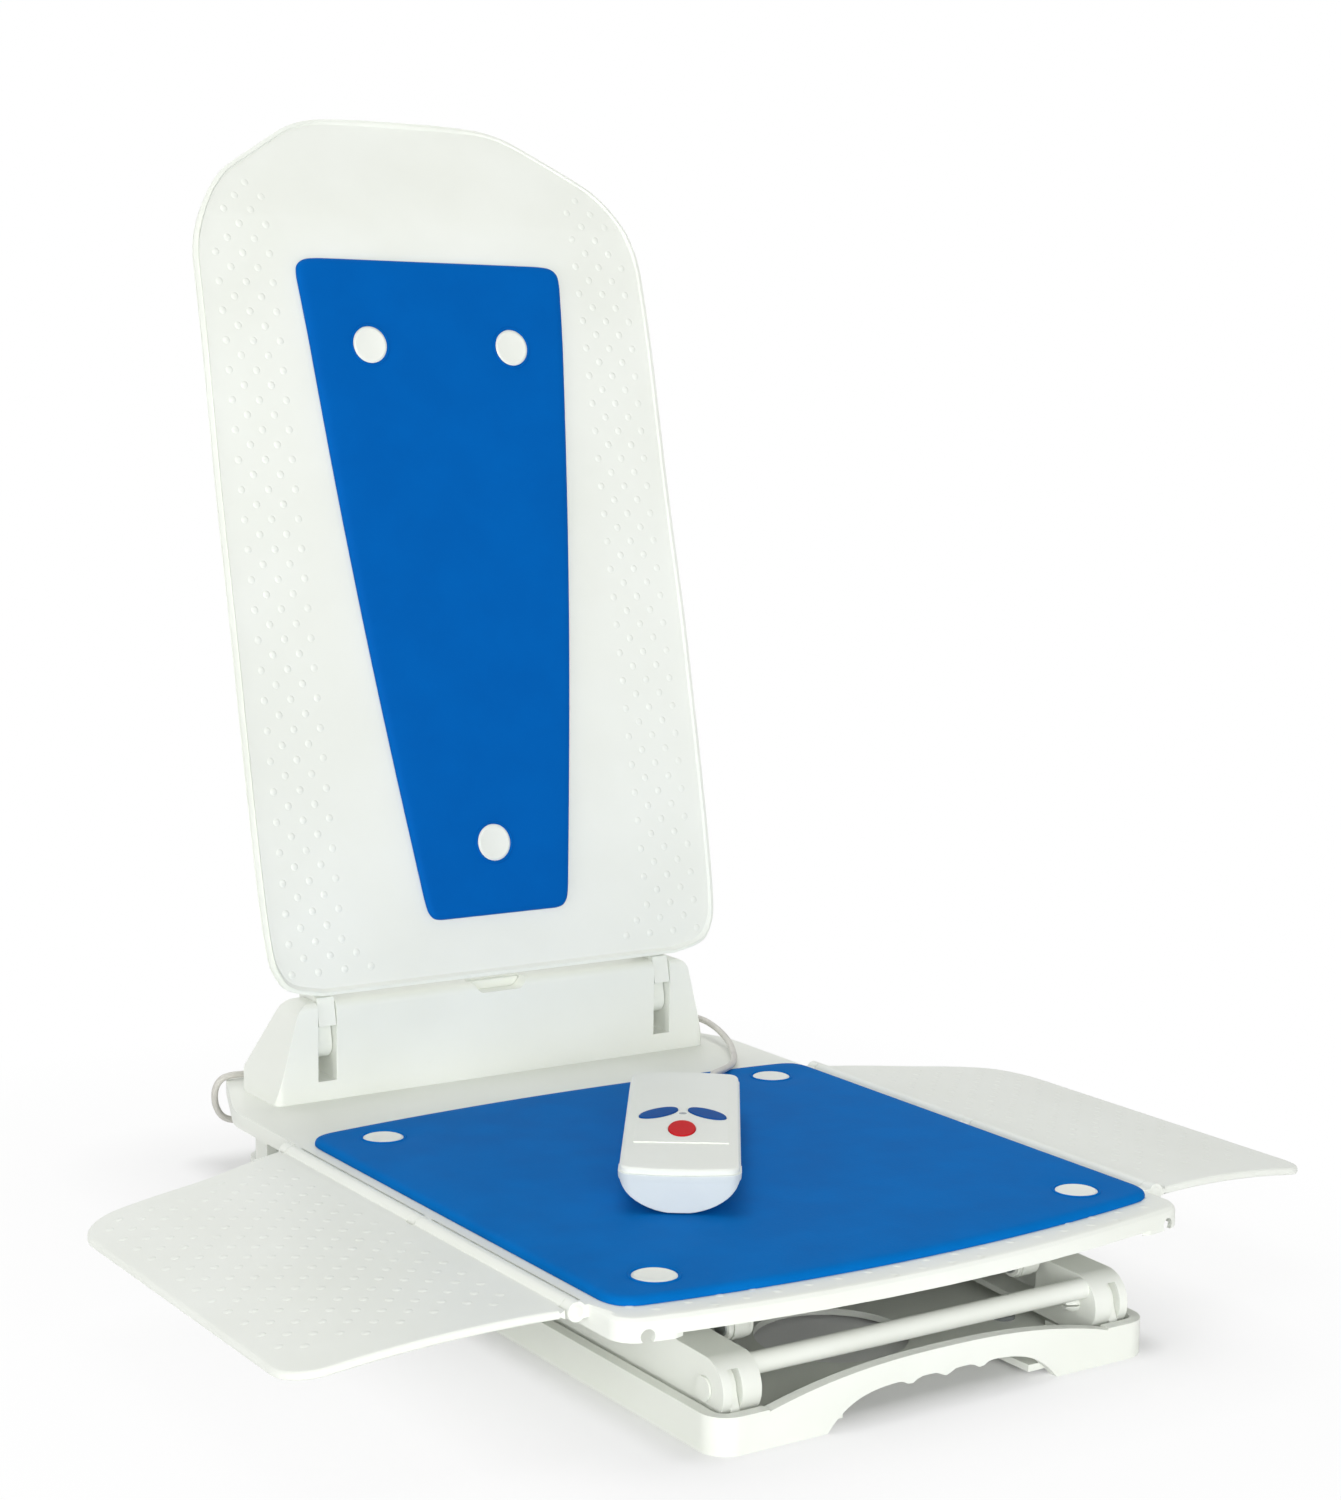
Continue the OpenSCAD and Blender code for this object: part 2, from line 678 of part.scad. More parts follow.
module inner_arm() color(part_white) at_inner() difference() {
  reach = 2 * inner_front_r;
  union() {
    from_x(inner_in_x, inner_w) polygon(concat(arc([arm_low, 0], inner_rear_r, -90, 90), [[0, mid_boss_r]],
      arc([-arm_high, 0], inner_front_r, 90, 270), [[0, -mid_boss_r]]));
    rod_x(inner_out_x - over, hub_x - free_gap, mid_boss_r);
  }
  for (side = [[inner_in_x - over, tongue_x], [tongue_x + tongue_w, inner_out_x + over]])
    box([side[0], -arm_high - reach, -reach], [side[1], -arm_high + reach, reach]);
  translate([0, -arm_high, 0]) rod_x(inner_in_x, inner_out_x, pin_r + run_gap);
  rod_x(inner_in_x - over, hub_x, pin_r + run_gap);
  translate([0, arm_low, 0]) rod_x(inner_in_x - over, inner_out_x + over, shaft_r + run_gap);
  for (span = [[-arm_high + 2 * pocket_margin, -pocket_margin], [pocket_margin, arm_low - pocket_margin]])
    from_x(inner_in_x - over, inner_w - arm_wall + over) translate([span[0], arm_wall - inner_front_r])
      square([span[1] - span[0], 2 * (inner_front_r - arm_wall)]);
}
module inner_arm_right() inner_arm();
module inner_arm_left() left() inner_arm();

module inner_shaft() color(steel_grey) at_rollers() rod_x(-inner_out_x, inner_out_x, shaft_r);

module roller() color(rubber_grey) at_rollers() difference() {
  rod_x(roller_x, roller_x + roller_w, roller_r);
  rod_x(roller_x - over, roller_x + roller_w + over, shaft_r + run_gap);
}
module roller_right() roller();
module roller_left() left() roller();

// Drive

module drive_nut() color(dark_grey) at_nut() difference() {
  box([-nut_half, -nut_len / 2, -nut_h / 2], [nut_half, nut_len / 2, nut_h / 2]);
  rod_y(-nut_len, nut_len, screw_r + 2 * run_gap);
  both_sides() rod_x(screw_r + arm_wall - over / 2, nut_half + over, shaft_r + run_gap);
}

module slide_shoes() color(rubber_grey) at_nut() both_sides() difference() {
  box([shoe_x, -shoe_len / 2, -shoe_half], [shoe_x + shoe_w, shoe_len / 2, shoe_half]);
  rod_x(shoe_x - over, shoe_x + shoe_w + over, shaft_r + run_gap);
}

module slide_rails() color(part_white) placed() both_sides() {
  low = seat_pivot_z + shoe_half + free_gap;
  mid_x = shoe_x + shoe_w / 2;
  rear = seat_rear_at - skirt_t - rib_end_gap;
  box([mid_x - rail_flange_w / 2, rail_from, low], [mid_x + rail_flange_w / 2, rear, low + rail_flange_t]);
  box([mid_x - rail_web_t / 2, rail_from, low], [mid_x + rail_web_t / 2, rear, plate_under]);
}

module lead_screw() color(steel_grey) at_screw() {
  turns = floor((screw_to - screw_from) / screw_pitch);
  crest_share = 0.3;
  crest = screw_pitch * crest_share;
  thread = [for (k = [0 : turns - 1]) let (y = screw_from + k * screw_pitch)
    for (c = [[screw_core_r, 0], [screw_r, 1], [screw_r, 2], [screw_core_r, 3]]) [c[0], y + c[1] * crest]];
  front = screw_from - bearing_len - gearbox_len / 3;
  rear = screw_to + bearing_len;
  rotate([-90, 0, 0]) rotate_extrude() polygon(concat(
    [[0, front], [journal_r, front], [journal_r, screw_from]], thread,
    [[screw_core_r, screw_to], [journal_r, screw_to], [journal_r, rear], [0, rear]]));
}

module screw_bearings() color(dark_grey) at_screw()
  for (y = [screw_from - bearing_len, screw_to + free_gap]) difference() {
    box([-bearing_half, y, -bearing_drop], [bearing_half, y + bearing_len - free_gap, plate_under - screw_z]);
    rod_y(y - over, y + bearing_len + over, journal_r + run_gap);
  }

module gearbox() color(dark_grey) at_screw() difference() {
  union() {
    box([-gearbox_half, gearbox_at, -gearbox_half], [gearbox_half, gearbox_at + gearbox_len, gearbox_half]);
    box([-gearbox_half, gearbox_at, 0], [gearbox_half, gearbox_at + gearbox_len / 2, plate_under - screw_z]);
  }
  rod_y(gearbox_at + gearbox_len / 2, gearbox_at + gearbox_len + over, journal_r + run_gap);
}

module drive_motor() color(steel_grey) at_screw() {
  rod_y(gearbox_at - motor_len, gearbox_at, motor_r);
  rod_y(gearbox_at - motor_len - motor_cap_len, gearbox_at - motor_len, motor_cap_r);
}

// Seat

function seat_front(x) = seat_front_at + seat_bow * pow(x / seat_half, 2);
seat_plan = rounded(concat(
  [for (k = [0 : seat_samples]) let (x = seat_half * (2 * k / seat_samples - 1))
    [x, seat_front(x), (k == 0 || k == seat_samples) ? seat_corner_r : 0]],
  both_halves([[seat_half, seat_rear_at - seat_sweep, seat_sweep_r],
    [seat_half - seat_rear_in, seat_rear_at, seat_rear_r]])));

module seat_ring(low, high) difference() {
  from_z(low, high - low) polygon(seat_plan);
  from_z(low - over, high - low + 2 * over) polygon(inset(seat_plan, skirt_t));
}

module seat_ribs() intersection() {
  from_z(rib_low, rib_h) polygon(inset(seat_plan, skirt_t / 2));
  union() {
    for (x = seat_half * rib_side_shares) both_sides() box([x, 0, 0], [x + rib_t, seat_rear_at, seat_top]);
    for (u = seat_rear_at * rib_cross_shares) box([-seat_half, u, 0], [seat_half, u + rib_t, seat_top]);
  }
}

// Clear way through the ribs for the rails, the drive and the forks
module rib_relief() {
  low = rib_low - over;
  rear = seat_rear_at - skirt_t - over;
  mid_x = shoe_x + shoe_w / 2;
  front = seat_pivot_at - fork_flange;
  both_sides() {
    box([mid_x - rail_web_t, rail_from - over, low], [mid_x + rail_web_t, rear, plate_under]);
    box([inner_in_x - over, front, low], [inner_out_x + over, front + 2 * fork_flange, plate_under]);
  }
  box([-gearbox_half - over, gearbox_at - motor_len - motor_cap_len - over, low],
    [gearbox_half + over, rear, plate_under]);
}

module seat_plate() color(shell_white) placed() difference() {
  union() {
    from_z(plate_under, plate_t) polygon(seat_plan);
    seat_ring(skirt_z, seat_top);
    intersection() {
      seat_ring(skirt_z - lobe_h, skirt_z + over);
      both_sides() translate([seat_half - lobe_in, seat_front(seat_half) + lobe_in, 0])
        rod_z(skirt_z - lobe_h, skirt_z + over, lobe_r);
    }
    difference() {
      seat_ribs();
      rib_relief();
    }
    both_sides() for (u = knuckle_ats) {
      translate([hinge_x, 0, hinge_z]) rod_y(u, u + knuckle_l, barrel_r);
      box([seat_half - skirt_t, u, hinge_z - knuckle_web], [hinge_x, u + knuckle_l, hinge_z + hinge_drop]);
    }
  }
  both_sides() {
    translate([hinge_x, 0, hinge_z]) rod_y(0, seat_rear_at, hinge_pin_r + run_gap);
    for (u = seat_stud_ats)
      translate([seat_stud_x, u, 0]) rod_z(skirt_z, seat_top + over, stud_shank_r + run_gap);
    translate([seat_half - notch_in, seat_front(seat_half - notch_in), skirt_z])
      rod_y(-seat_bow, seat_bow, notch_r);
  }
  at_house_screws() rod_z(skirt_z, seat_top + over, screw_shank_r + run_gap);
}

// Fork under the seat that takes an inner arm's tongue
module seat_fork() color(part_white) at_seat_pivot() difference() {
  top = plate_under - seat_pivot_z;
  x0 = tongue_x - fork_gap - fork_t;
  x1 = tongue_x + tongue_w + fork_gap + fork_t;
  union() {
    for (x = [x0, x1 - fork_t]) from_x(x, fork_t)
      polygon(concat(arc([0, 0], fork_r, 180, 360), [[fork_r, top], [-fork_r, top]]));
    box([x0, -fork_flange / 2, top - fork_flange_t], [x1, fork_flange / 2, top]);
  }
  rod_x(x0 - over, x1 + over, pin_r + run_gap);
}
module seat_forks() {
  seat_fork();
  left() seat_fork();
}

module seat_pins() color(steel_grey) at_seat_pivot() both_sides() {
  x0 = tongue_x - fork_gap - fork_t;
  x1 = tongue_x + tongue_w + fork_gap + fork_t;
  rod_x(x0 - cap_t, x1 + cap_t, pin_r);
  rod_x(x0 - cap_t, x0, cap_r - cap_t);
  rod_x(x1, x1 + cap_t, cap_r - cap_t);
}

// Hinge housing

house_half = house_w / 2;
function house_side(low) = rounded([[house_at, low, 0], [house_rear_at, low, 0], [house_rear_at, seat_top, 0],
  [house_step_at, house_top, house_edge_r], [house_at, house_top, house_edge_r]]);
function house_front(low) = rounded(both_halves([[house_half, low, 0], [house_half, seat_top, 0],
  [house_top_w / 2, house_top, house_corner_r]]));
house_plan = rounded(both_halves(
  [[house_half, house_at, house_front_r], [house_half, house_rear_at, house_rear_r]]));

module house_form(d) {
  low = seat_top - d - over;
  floor_z = seat_top - (d == 0 ? 0 : over);
  intersection() {
    from_x(-house_half, house_w) polygon(inset(house_side(low), d));
    from_y(house_at - over, house_d + 2 * over) polygon(inset(house_front(low), d));
    from_z(floor_z, house_top - floor_z) polygon(inset(house_plan, d));
  }
}

module hinge_housing() color(shell_white) placed() difference() {
  latch_at = house_at + latch_back;
  slot_in = slot_x - slot_w / 2;
  slot_out = slot_x + slot_w / 2;
  union() {
    difference() {
      house_form(0);
      house_form(house_t);
    }
    intersection() {
      house_form(0);
      union() {
        both_sides()
          box([slot_in - house_t, house_at, seat_top], [slot_out + house_t, house_rear_at, house_top]);
        box([-latch_box_w / 2, house_at, house_top - latch_box_h],
          [latch_box_w / 2, house_step_at, house_top]);
        at_house_screws() rod_z(seat_top, seat_top + boss_h, boss_r);
      }
    }
  }
  both_sides() {
    box([slot_in, house_at - over, slot_z], [slot_out, house_at + slot_floor_d, house_top + over]);
    translate([0, back_pin_at, back_pin_z])
      rod_x(slot_in - house_t - over, slot_out + house_t + over, pin_r + run_gap);
  }
  at_house_screws() rod_z(seat_top - over, seat_top + boss_h - over, screw_shank_r + run_gap);
  from_y(house_at - over, latch_back + latch_t + over) polygon(rounded(both_halves(
    [[scoop_w / 2 - scoop_r, house_top - scoop_h, scoop_r], [scoop_w / 2, house_top + over, 0]])));
  box([-latch_w / 2 - latch_gap, latch_at - latch_gap, house_top - latch_h - latch_travel - latch_t],
    [latch_w / 2 + latch_gap, latch_at + latch_t + latch_gap, house_top + over]);
}

module housing_screws() color(steel_grey) placed() at_house_screws() {
  rod_z(plate_under - screw_head_h, plate_under, screw_head_r);
  rod_z(plate_under, seat_top + boss_h - 2 * over, screw_shank_r);
}

module backrest_pins() color(steel_grey) at_back_pin() both_sides()
  rod_x(slot_x - slot_w / 2 - house_t - back_pin_out, slot_x + slot_w / 2 + house_t + back_pin_out, pin_r);

module release_latch() color(part_white) placed() translate([0, house_at + latch_back, house_top - over])
  box([-latch_w / 2, 0, -latch_h], [latch_w / 2, latch_t, 0]);

// Side flaps, each one a skin that arches down to its outer edge with a lip round its underside

function flap_z(x) = seat_top - hinge_z - over - flap_droop * pow(x / flap_w, 2);
flap_samples = 16;
flap_corner_r = 25;
flap_rear_r = 34;
flap_front_sweep = 20;
flap_rear_sweep = 36;
flap_bend_shares = [0.43, 0.75];
flap_bend_r = 120;
flap_lip = 1.4;
flap_lip_t = 4;
flap_plan = rounded([[0, flap_front_at, 0], [flap_w, flap_front_at + flap_front_sweep, flap_corner_r],
  [flap_w, flap_rear_at - flap_rear_sweep, flap_rear_r],
  [flap_w * flap_bend_shares[0], flap_rear_at - flap_rear_sweep * flap_bend_shares[1], flap_bend_r],
  [0, flap_rear_at, 0]], 10);

module flap_profile(t) from_y(flap_front_at - over, flap_len + 2 * over) polygon(concat(
  [for (k = [0 : flap_samples]) let (x = flap_w * k / flap_samples) [x, flap_z(x) - t]],
  [for (k = [flap_samples : -1 : 0]) let (x = flap_w * k / flap_samples) [x, flap_z(x)]]));

module flap() color(shell_white) at_flap_hinge() difference() {
  union() {
    intersection() {
      flap_profile(flap_t);
      from_z(-2 * flap_droop, 3 * flap_droop) polygon(flap_plan);
    }
    intersection() {
      flap_profile(flap_t + flap_lip);
      from_z(-2 * flap_droop, 3 * flap_droop) difference() {
        polygon(flap_plan);
        polygon(inset(flap_plan, flap_lip_t));
      }
      box([barrel_r, flap_front_at, -2 * flap_droop], [flap_w, flap_rear_at, flap_droop]);
    }
    rod_y(flap_front_at, flap_rear_at, barrel_r);
  }
  for (u = knuckle_ats)
    box([-2 * barrel_r, u - free_gap, -2 * barrel_r],
      [barrel_r + over, u + knuckle_l + free_gap, 2 * barrel_r]);
  rod_y(flap_front_at - over, flap_rear_at + over, hinge_pin_r + run_gap);
}
module flap_right() flap();
module flap_left() left() flap();

module flap_pins() color(steel_grey) both_sides() at_flap_hinge()
  rod_y(flap_front_at, flap_rear_at, hinge_pin_r);

// Backrest, in its own frame: x across, y behind the face and z up along the face

function bend(s) = s < bend_from ? 0 : crown_bend * pow((s - bend_from) / (back_top - bend_from), 2);
back_outline = rounded(both_halves([for (p = back_outline_shares)
  [p[0] * back_half, back_low + p[1] * back_h, p[2] * back_half]]), 10);
bend_line = concat([back_low - over],
  [for (k = [0 : bend_samples]) bend_from + (back_top - bend_from) * k / bend_samples], [back_top + over]);

// Layer of the bent shell between two depths behind its face, within the outline moved inwards by d
module back_layer(from, to, d) intersection() {
  from_x(-back_half, 2 * back_half) polygon(concat([for (s = bend_line) [bend(s) + to, s]],
    [for (i = [len(bend_line) - 1 : -1 : 0]) [bend(bend_line[i]) + from, bend_line[i]]]));
  from_y(-over, crown_bend + back_rim + 3 * over) polygon(inset(back_outline, d));
}

module backrest_shell() color(shell_white) at_back() difference() {
  union() {
    back_layer(0, back_face_t, 0);
    difference() {
      back_layer(back_face_t / 2, back_rim, back_rim_in);
      back_layer(back_face_t / 2 - over, back_rim + over, back_rim_in + back_wall);
    }
    intersection() {
      back_layer(back_face_t / 2, back_face_t + back_rib_h, back_rim_in + back_wall / 2);
      union() {
        for (c = back_rib_shares) both_sides()
          box([back_half * c, 0, 0], [back_half * c + back_rib_t, crown_bend + back_rim, back_top]);
        for (c = back_cross_shares) let (s = back_low + back_h * c)
          box([-back_half, 0, s], [back_half, back_rim, s + back_rib_t]);
      }
    }
    both_sides() box([slot_x - swing_arm_t / 2, back_face_t / 2, back_low],
      [slot_x + swing_arm_t / 2, back_rim, swing_arm_up]);
  }
  for (p = back_stud_places) translate([p[0], 0, p[1]]) rod_y(-over, back_rim, stud_shank_r + run_gap);
  both_sides() for (s = arm_screw_ss) translate([slot_x, 0, s])
    rod_y(back_rim - arm_screw_d + over, back_rim + over, screw_shank_r + run_gap);
}

// Arm that carries the backrest on its pin in the housing's slot
module backrest_arm() color(part_white) at_back() difference() {
  du = back_pin_at - back_at;
  dz = back_pin_z - back_z;
  pin = [du * cos(lean) - dz * sin(lean), du * sin(lean) + dz * cos(lean)];
  from_x(slot_x - swing_arm_t / 2, swing_arm_t) polygon(concat(arc(pin, swing_arm_r, 180, 360),
    [swing_arm_mid, [swing_arm_top_d, swing_arm_up], [back_rim, swing_arm_up], [back_rim, back_low - over],
    [swing_flange[0], back_low - over], swing_flange, [pin[0] - swing_arm_r, swing_flange[1]]]));
  translate([0, pin[0], pin[1]]) rod_x(slot_x - slot_w, slot_x + slot_w, pin_r + run_gap);
  for (s = arm_screw_ss) translate([slot_x, 0, s]) rod_y(0, 2 * swing_arm_mid[0], screw_shank_r + run_gap);
}
module backrest_arm_right() backrest_arm();
module backrest_arm_left() left() backrest_arm();

function arm_face(s) = swing_arm_top_d
  + (swing_arm_mid[0] - swing_arm_top_d) * (swing_arm_up - s) / (swing_arm_up - swing_arm_mid[1]);

module arm_screws() color(steel_grey) at_back() both_sides() for (s = arm_screw_ss) translate([slot_x, 0, s]) {
  face = arm_face(s) + over;
  rod_y(face, face + screw_head_h, screw_head_r);
  rod_y(back_rim - arm_screw_d + 2 * over, face, screw_shank_r);
}

// Pads: soft sheets with rounded, drawn-in edges and a slight crown, held by dished studs

function edge_steps(length, r, count) = concat([for (e = edge_shares) e * r],
  [for (k = [1 : count]) r + (length - 2 * r) * k / (count + 1)],
  [for (i = [len(edge_shares) - 1 : -1 : 0]) length - edge_shares[i] * r]);
function corner_in(e, r) = e >= r ? 0 : r - sqrt(r * r - (r - e) * (r - e));
function edge_lift(e) = e >= pad_edge_r ? 1
  : pad_edge_share + (1 - pad_edge_share) * sqrt(1 - pow(1 - e / pad_edge_r, 2));
// Height of a pad over its sheet, at e from its end and x from its middle
function pad_lift(e, length, x, half) = pad_t * min(edge_lift(min(e, length - e)), edge_lift(half - abs(x)))
  + pad_crown * (1 - pow(x / half, 2)) * sin(180 * e / length);
function across(half, r) = [for (x = edge_steps(2 * half, r, pad_columns)) x - half];

function seat_pad_half(e) = pad_half - corner_in(min(e, pad_len - e), pad_corner_r);
function seat_pad_at(x, e) = let (t = e / pad_len, c = 1 - pow(x / pad_half, 2),
  front = pad_side_at - pad_bow * c, rear = pad_side_at + pad_len + pad_rear_bow * c)
  front + (rear - front) * t;

module seat_pad() color(pad_blue) placed() difference() {
  es = edge_steps(pad_len, pad_edge_r, seat_pad_rows);
  grid_solid(
    [for (e = es) let (h = seat_pad_half(e)) [for (x = across(h, pad_edge_r))
      [x, seat_pad_at(x, e), seat_top + pad_lift(e, pad_len, x, h)]]],
    [for (e = es) let (h = seat_pad_half(e)) [for (x = across(h, pad_edge_r))
      [x, seat_pad_at(x, e), seat_top + pad_gap]]]);
  both_sides() for (u = seat_stud_ats) translate([seat_stud_x, u, 0]) {
    rod_z(seat_top - over, pad_top + 2 * over, stud_shank_r + stud_gap);
    rod_z(pad_top - stud_head_h, pad_top + 2 * over, stud_r + stud_gap);
  }
}

module stud(reach) {
  dish = [for (c = stud_dish_shares) [stud_r * c[0], stud_head_h - stud_dish * c[1]]];
  rotate_extrude()
    polygon(concat(dish, [[stud_r, 0], [stud_shank_r, 0], [stud_shank_r, -reach], [0, -reach]]));
}

module seat_studs() color(part_white) placed() both_sides() for (u = seat_stud_ats)
  translate([seat_stud_x, u, pad_top - stud_head_h + stud_gap / 2])
    stud(pad_t - stud_head_h + plate_t + stud_tail);

function back_pad_half(e) = let (t = e / back_pad_len)
  (back_pad_low_w + (back_pad_top_w - back_pad_low_w) * t) / 2 + back_pad_bulge * sin(180 * t)
  - corner_in(min(e, back_pad_len - e), back_pad_corner_r);

module backrest_pad() color(pad_blue) at_back() difference() {
  es = edge_steps(back_pad_len, pad_edge_r, back_pad_rows);
  grid_solid(
    [for (e = es) let (h = back_pad_half(e), s = back_pad_low + e) [for (x = across(h, pad_edge_r))
      [x, bend(s) - pad_lift(e, back_pad_len, x, h), s]]],
    [for (e = es) let (h = back_pad_half(e), s = back_pad_low + e) [for (x = across(h, pad_edge_r))
      [x, bend(s) - pad_gap, s]]]);
  for (p = back_stud_places) translate([p[0], 0, p[1]]) {
    rod_y(-pad_t - 2 * over, over, stud_shank_r + stud_gap);
    rod_y(-pad_t - 2 * over, stud_head_h - pad_t, stud_r + stud_gap);
  }
}

module backrest_studs() color(part_white) at_back() for (p = back_stud_places)
  translate([p[0], stud_head_h - pad_t - stud_gap / 2, p[1]]) rotate([90, 0, 0])
    stud(pad_t - stud_head_h + back_face_t + stud_tail);

// Handset

function hand_section(d) = [for (k = [0 : hand_samples]) let (t = 180 + 180 * k / hand_samples)
  [(hand_w / 2 - d) * cos(t), hull_h + (hull_h - d) * sin(t)]];
hand_half = hand_len / 2;
hand_side = hand_half - hand_bow;
hand_plan = rounded([[-hand_w / 2, -hand_side, hand_corner_r], [0, -hand_half, hand_len],
  [hand_w / 2, -hand_side, hand_corner_r], [hand_w / 2, hand_side, hand_corner_r], [0, hand_half, hand_len],
  [-hand_w / 2, hand_side, hand_corner_r]]);

module hand_form(y0, y1, d) intersection() {
  from_y(y0, y1 - y0) polygon(hand_section(d));
  from_z(keel_flat, hand_h) polygon(inset(hand_plan, d));
}

module handset_hull() color(shell_white) at_handset() difference() {
  hand_form(-hand_half + hand_cap_len, hand_half, 0);
  hand_form(-hand_half + hand_cap_len - over, hand_half, hand_t);
  translate([relief_x, 0, relief_z]) rod_y(hand_side - hand_t - over, hand_half + over, relief_r + run_gap);
}

module handset_cap() color("#DDE4EE") at_handset() difference() {
  hand_form(-hand_half, -hand_half + hand_cap_len, 0);
  hand_form(-hand_half, -hand_half + hand_cap_len + over, hand_t);
}

module button_holes(d) for (kind = ["up", "down", "stop"]) polygon(button_outline(kind, d));

module handset_cover() color(shell_white) at_handset() difference() {
  union() {
    from_z(hull_h, hand_cover_t - hand_panel_h) polygon(inset(hand_plan, hand_cover_in));
    from_z(hull_h, hand_cover_t) translate([-hand_panel_w / 2, hand_panel_from])
      square([hand_panel_w, hand_panel_to - hand_panel_from]);
  }
  from_z(hull_h - over, hand_cover_t + 2 * over) button_holes(button_gap);
  from_z(hull_h - over, hand_cover_t / 2 + over) button_holes(button_flange + button_gap);
  translate([0, lens_y, 0]) rod_z(hull_h - over, hand_h + over, lens_r + run_gap);
}

function button_outline(kind, d) = kind == "stop"
  ? [for (p = ellipse(stop_a + d, stop_b + d)) p + [0, stop_y]]
  : let (side = kind == "up" ? -1 : 1)
    [for (p = ellipse(leaf_a + d, leaf_b + d, -side * leaf_turn)) p + [side * leaf_x, leaf_y]];

module button(kind) {
  low = hull_h + hand_cover_t / 2 - button_gap - button_flange_t;
  from_z(low, hand_h + button_rise - low) polygon(button_outline(kind, 0));
  from_z(low, button_flange_t) polygon(button_outline(kind, button_flange));
}
module button_up() color(pad_blue) at_handset() button("up");
module button_down() color(pad_blue) at_handset() button("down");
module button_stop() color(stop_red) at_handset() button("stop");

module status_lens() color(rubber_grey) at_handset() translate([0, lens_y, 0]) rod_z(hull_h, hand_h, lens_r);

module control_board() color("#2E6B46") at_handset() translate([0, board_y, hull_h - board_drop])
  box([-board_w / 2, 0, 0], [board_w / 2, board_len, board_t]);

module battery_pack() color(dark_grey) at_handset() translate([0, cell_y, hull_h - board_drop])
  box([-cell_w / 2, 0, -cell_h], [cell_w / 2, cell_len, 0]);

module handset_relief() color(cord_grey) at_handset() translate([relief_x, 0, relief_z])
  rotate([-90, 0, 0]) rotate_extrude() polygon([[0, hand_side], [relief_r, hand_side],
    [relief_tip_r, hand_half + relief_len], [0, hand_half + relief_len]]);

// Gland under the seat's rear left corner, and the cord

module cord_gland() color(dark_grey) placed() translate([gland_x, gland_at, 0]) {
  box([-gland_w, -gland_d / 2, gland_low], [0, gland_d / 2, plate_under]);
  translate([-gland_w, 0, gland_z]) rotate([0, -90, 0]) rotate_extrude()
    polygon([[0, 0], [relief_r, 0], [relief_tip_r, gland_len], [0, gland_len]]);
}

// Point on a smooth curve between the second and the third of four points
function curve(p, t) = (2 * p[1] + (p[2] - p[0]) * t + (2 * p[0] - 5 * p[1] + 4 * p[2] - p[3]) * t * t
  + (3 * p[1] - p[0] - 3 * p[2] + p[3]) * t * t * t) / 2;
cord_last = len(cord_route) - 1;
function cord_four(i) = [for (k = [-1 : 2]) cord_route[max(0, min(cord_last, i + k))]];
cord_line = concat(
  [for (i = [0 : cord_last - 1]) for (k = [0 : cord_steps - 1]) curve(cord_four(i), k / cord_steps)],
  [cord_route[cord_last]]);

module cord() color(cord_grey) placed() {
  count = len(cord_line);
  n = cord_sides;
  last = (count - 1) * n;
  along = [for (i = [0 : count - 1]) unit(cord_line[min(count - 1, i + 1)] - cord_line[max(0, i - 1)])];
  side = [for (i = 0, v = unit(cross(along[0], [0, 1, 0])); i < count;
    i = i + 1, v = i < count ? unit(v - (v * along[i]) * along[i]) : v) v];
  rings = [for (i = [0 : count - 1]) let (w = cross(along[i], side[i])) for (k = [0 : n - 1])
    let (a = 360 * k / n) cord_line[i] + cord_d / 2 * (side[i] * cos(a) + w * sin(a))];
  walls = [for (i = [0 : count - 2]) for (k = [0 : n - 1]) let (a = i * n + k, b = i * n + (k + 1) % n)
    for (f = [[a, a + n, b + n], [a, b + n, b]]) f];
  ends = [for (k = [1 : n - 2]) for (f = [[0, k, k + 1], [last, last + k + 1, last + k]]) f];
  polyhedron(rings, concat(walls, ends));
}

base_frame();
pivot_block_left();
pivot_block_right();
front_pin_left();
front_pin_right();
suction_cups();
outer_arm_left();
outer_arm_right();
torque_tube();
mid_pins();
rear_shafts();
inner_arm_left();
inner_arm_right();
inner_shaft();
roller_left();
roller_right();
drive_nut();
slide_shoes();
seat_plate();
seat_forks();
seat_pins();
slide_rails();
drive_motor();
gearbox();
screw_bearings();
lead_screw();
hinge_housing();
housing_screws();
backrest_pins();
release_latch();
flap_pins();
flap_left();
flap_right();
seat_pad();
seat_studs();
backrest_shell();
backrest_pad();
backrest_studs();
backrest_arm_left();
backrest_arm_right();
arm_screws();
handset_hull();
handset_cover();
handset_cap();
battery_pack();
control_board();
status_lens();
button_up();
button_down();
button_stop();
handset_relief();
cord_gland();
cord();
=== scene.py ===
# %% [markdown]
# # A bath lift, dressed round its CAD frame
# The real thing is a seat that a motor raises on a scissor. Its shells are white moulded plastic, its
# pads are blue foam with a closed skin, and a corded handset lies on the seat. A CAD model already
# gives every solid its size, its place and its joint. This lesson keeps those and adds the looks:
# softer edges, moulded nubs, stuffed pads and a cord, with a camera and light to see them by.

# %% The frame
import json
import math

import bmesh
import bpy
from mathutils import Matrix, Vector

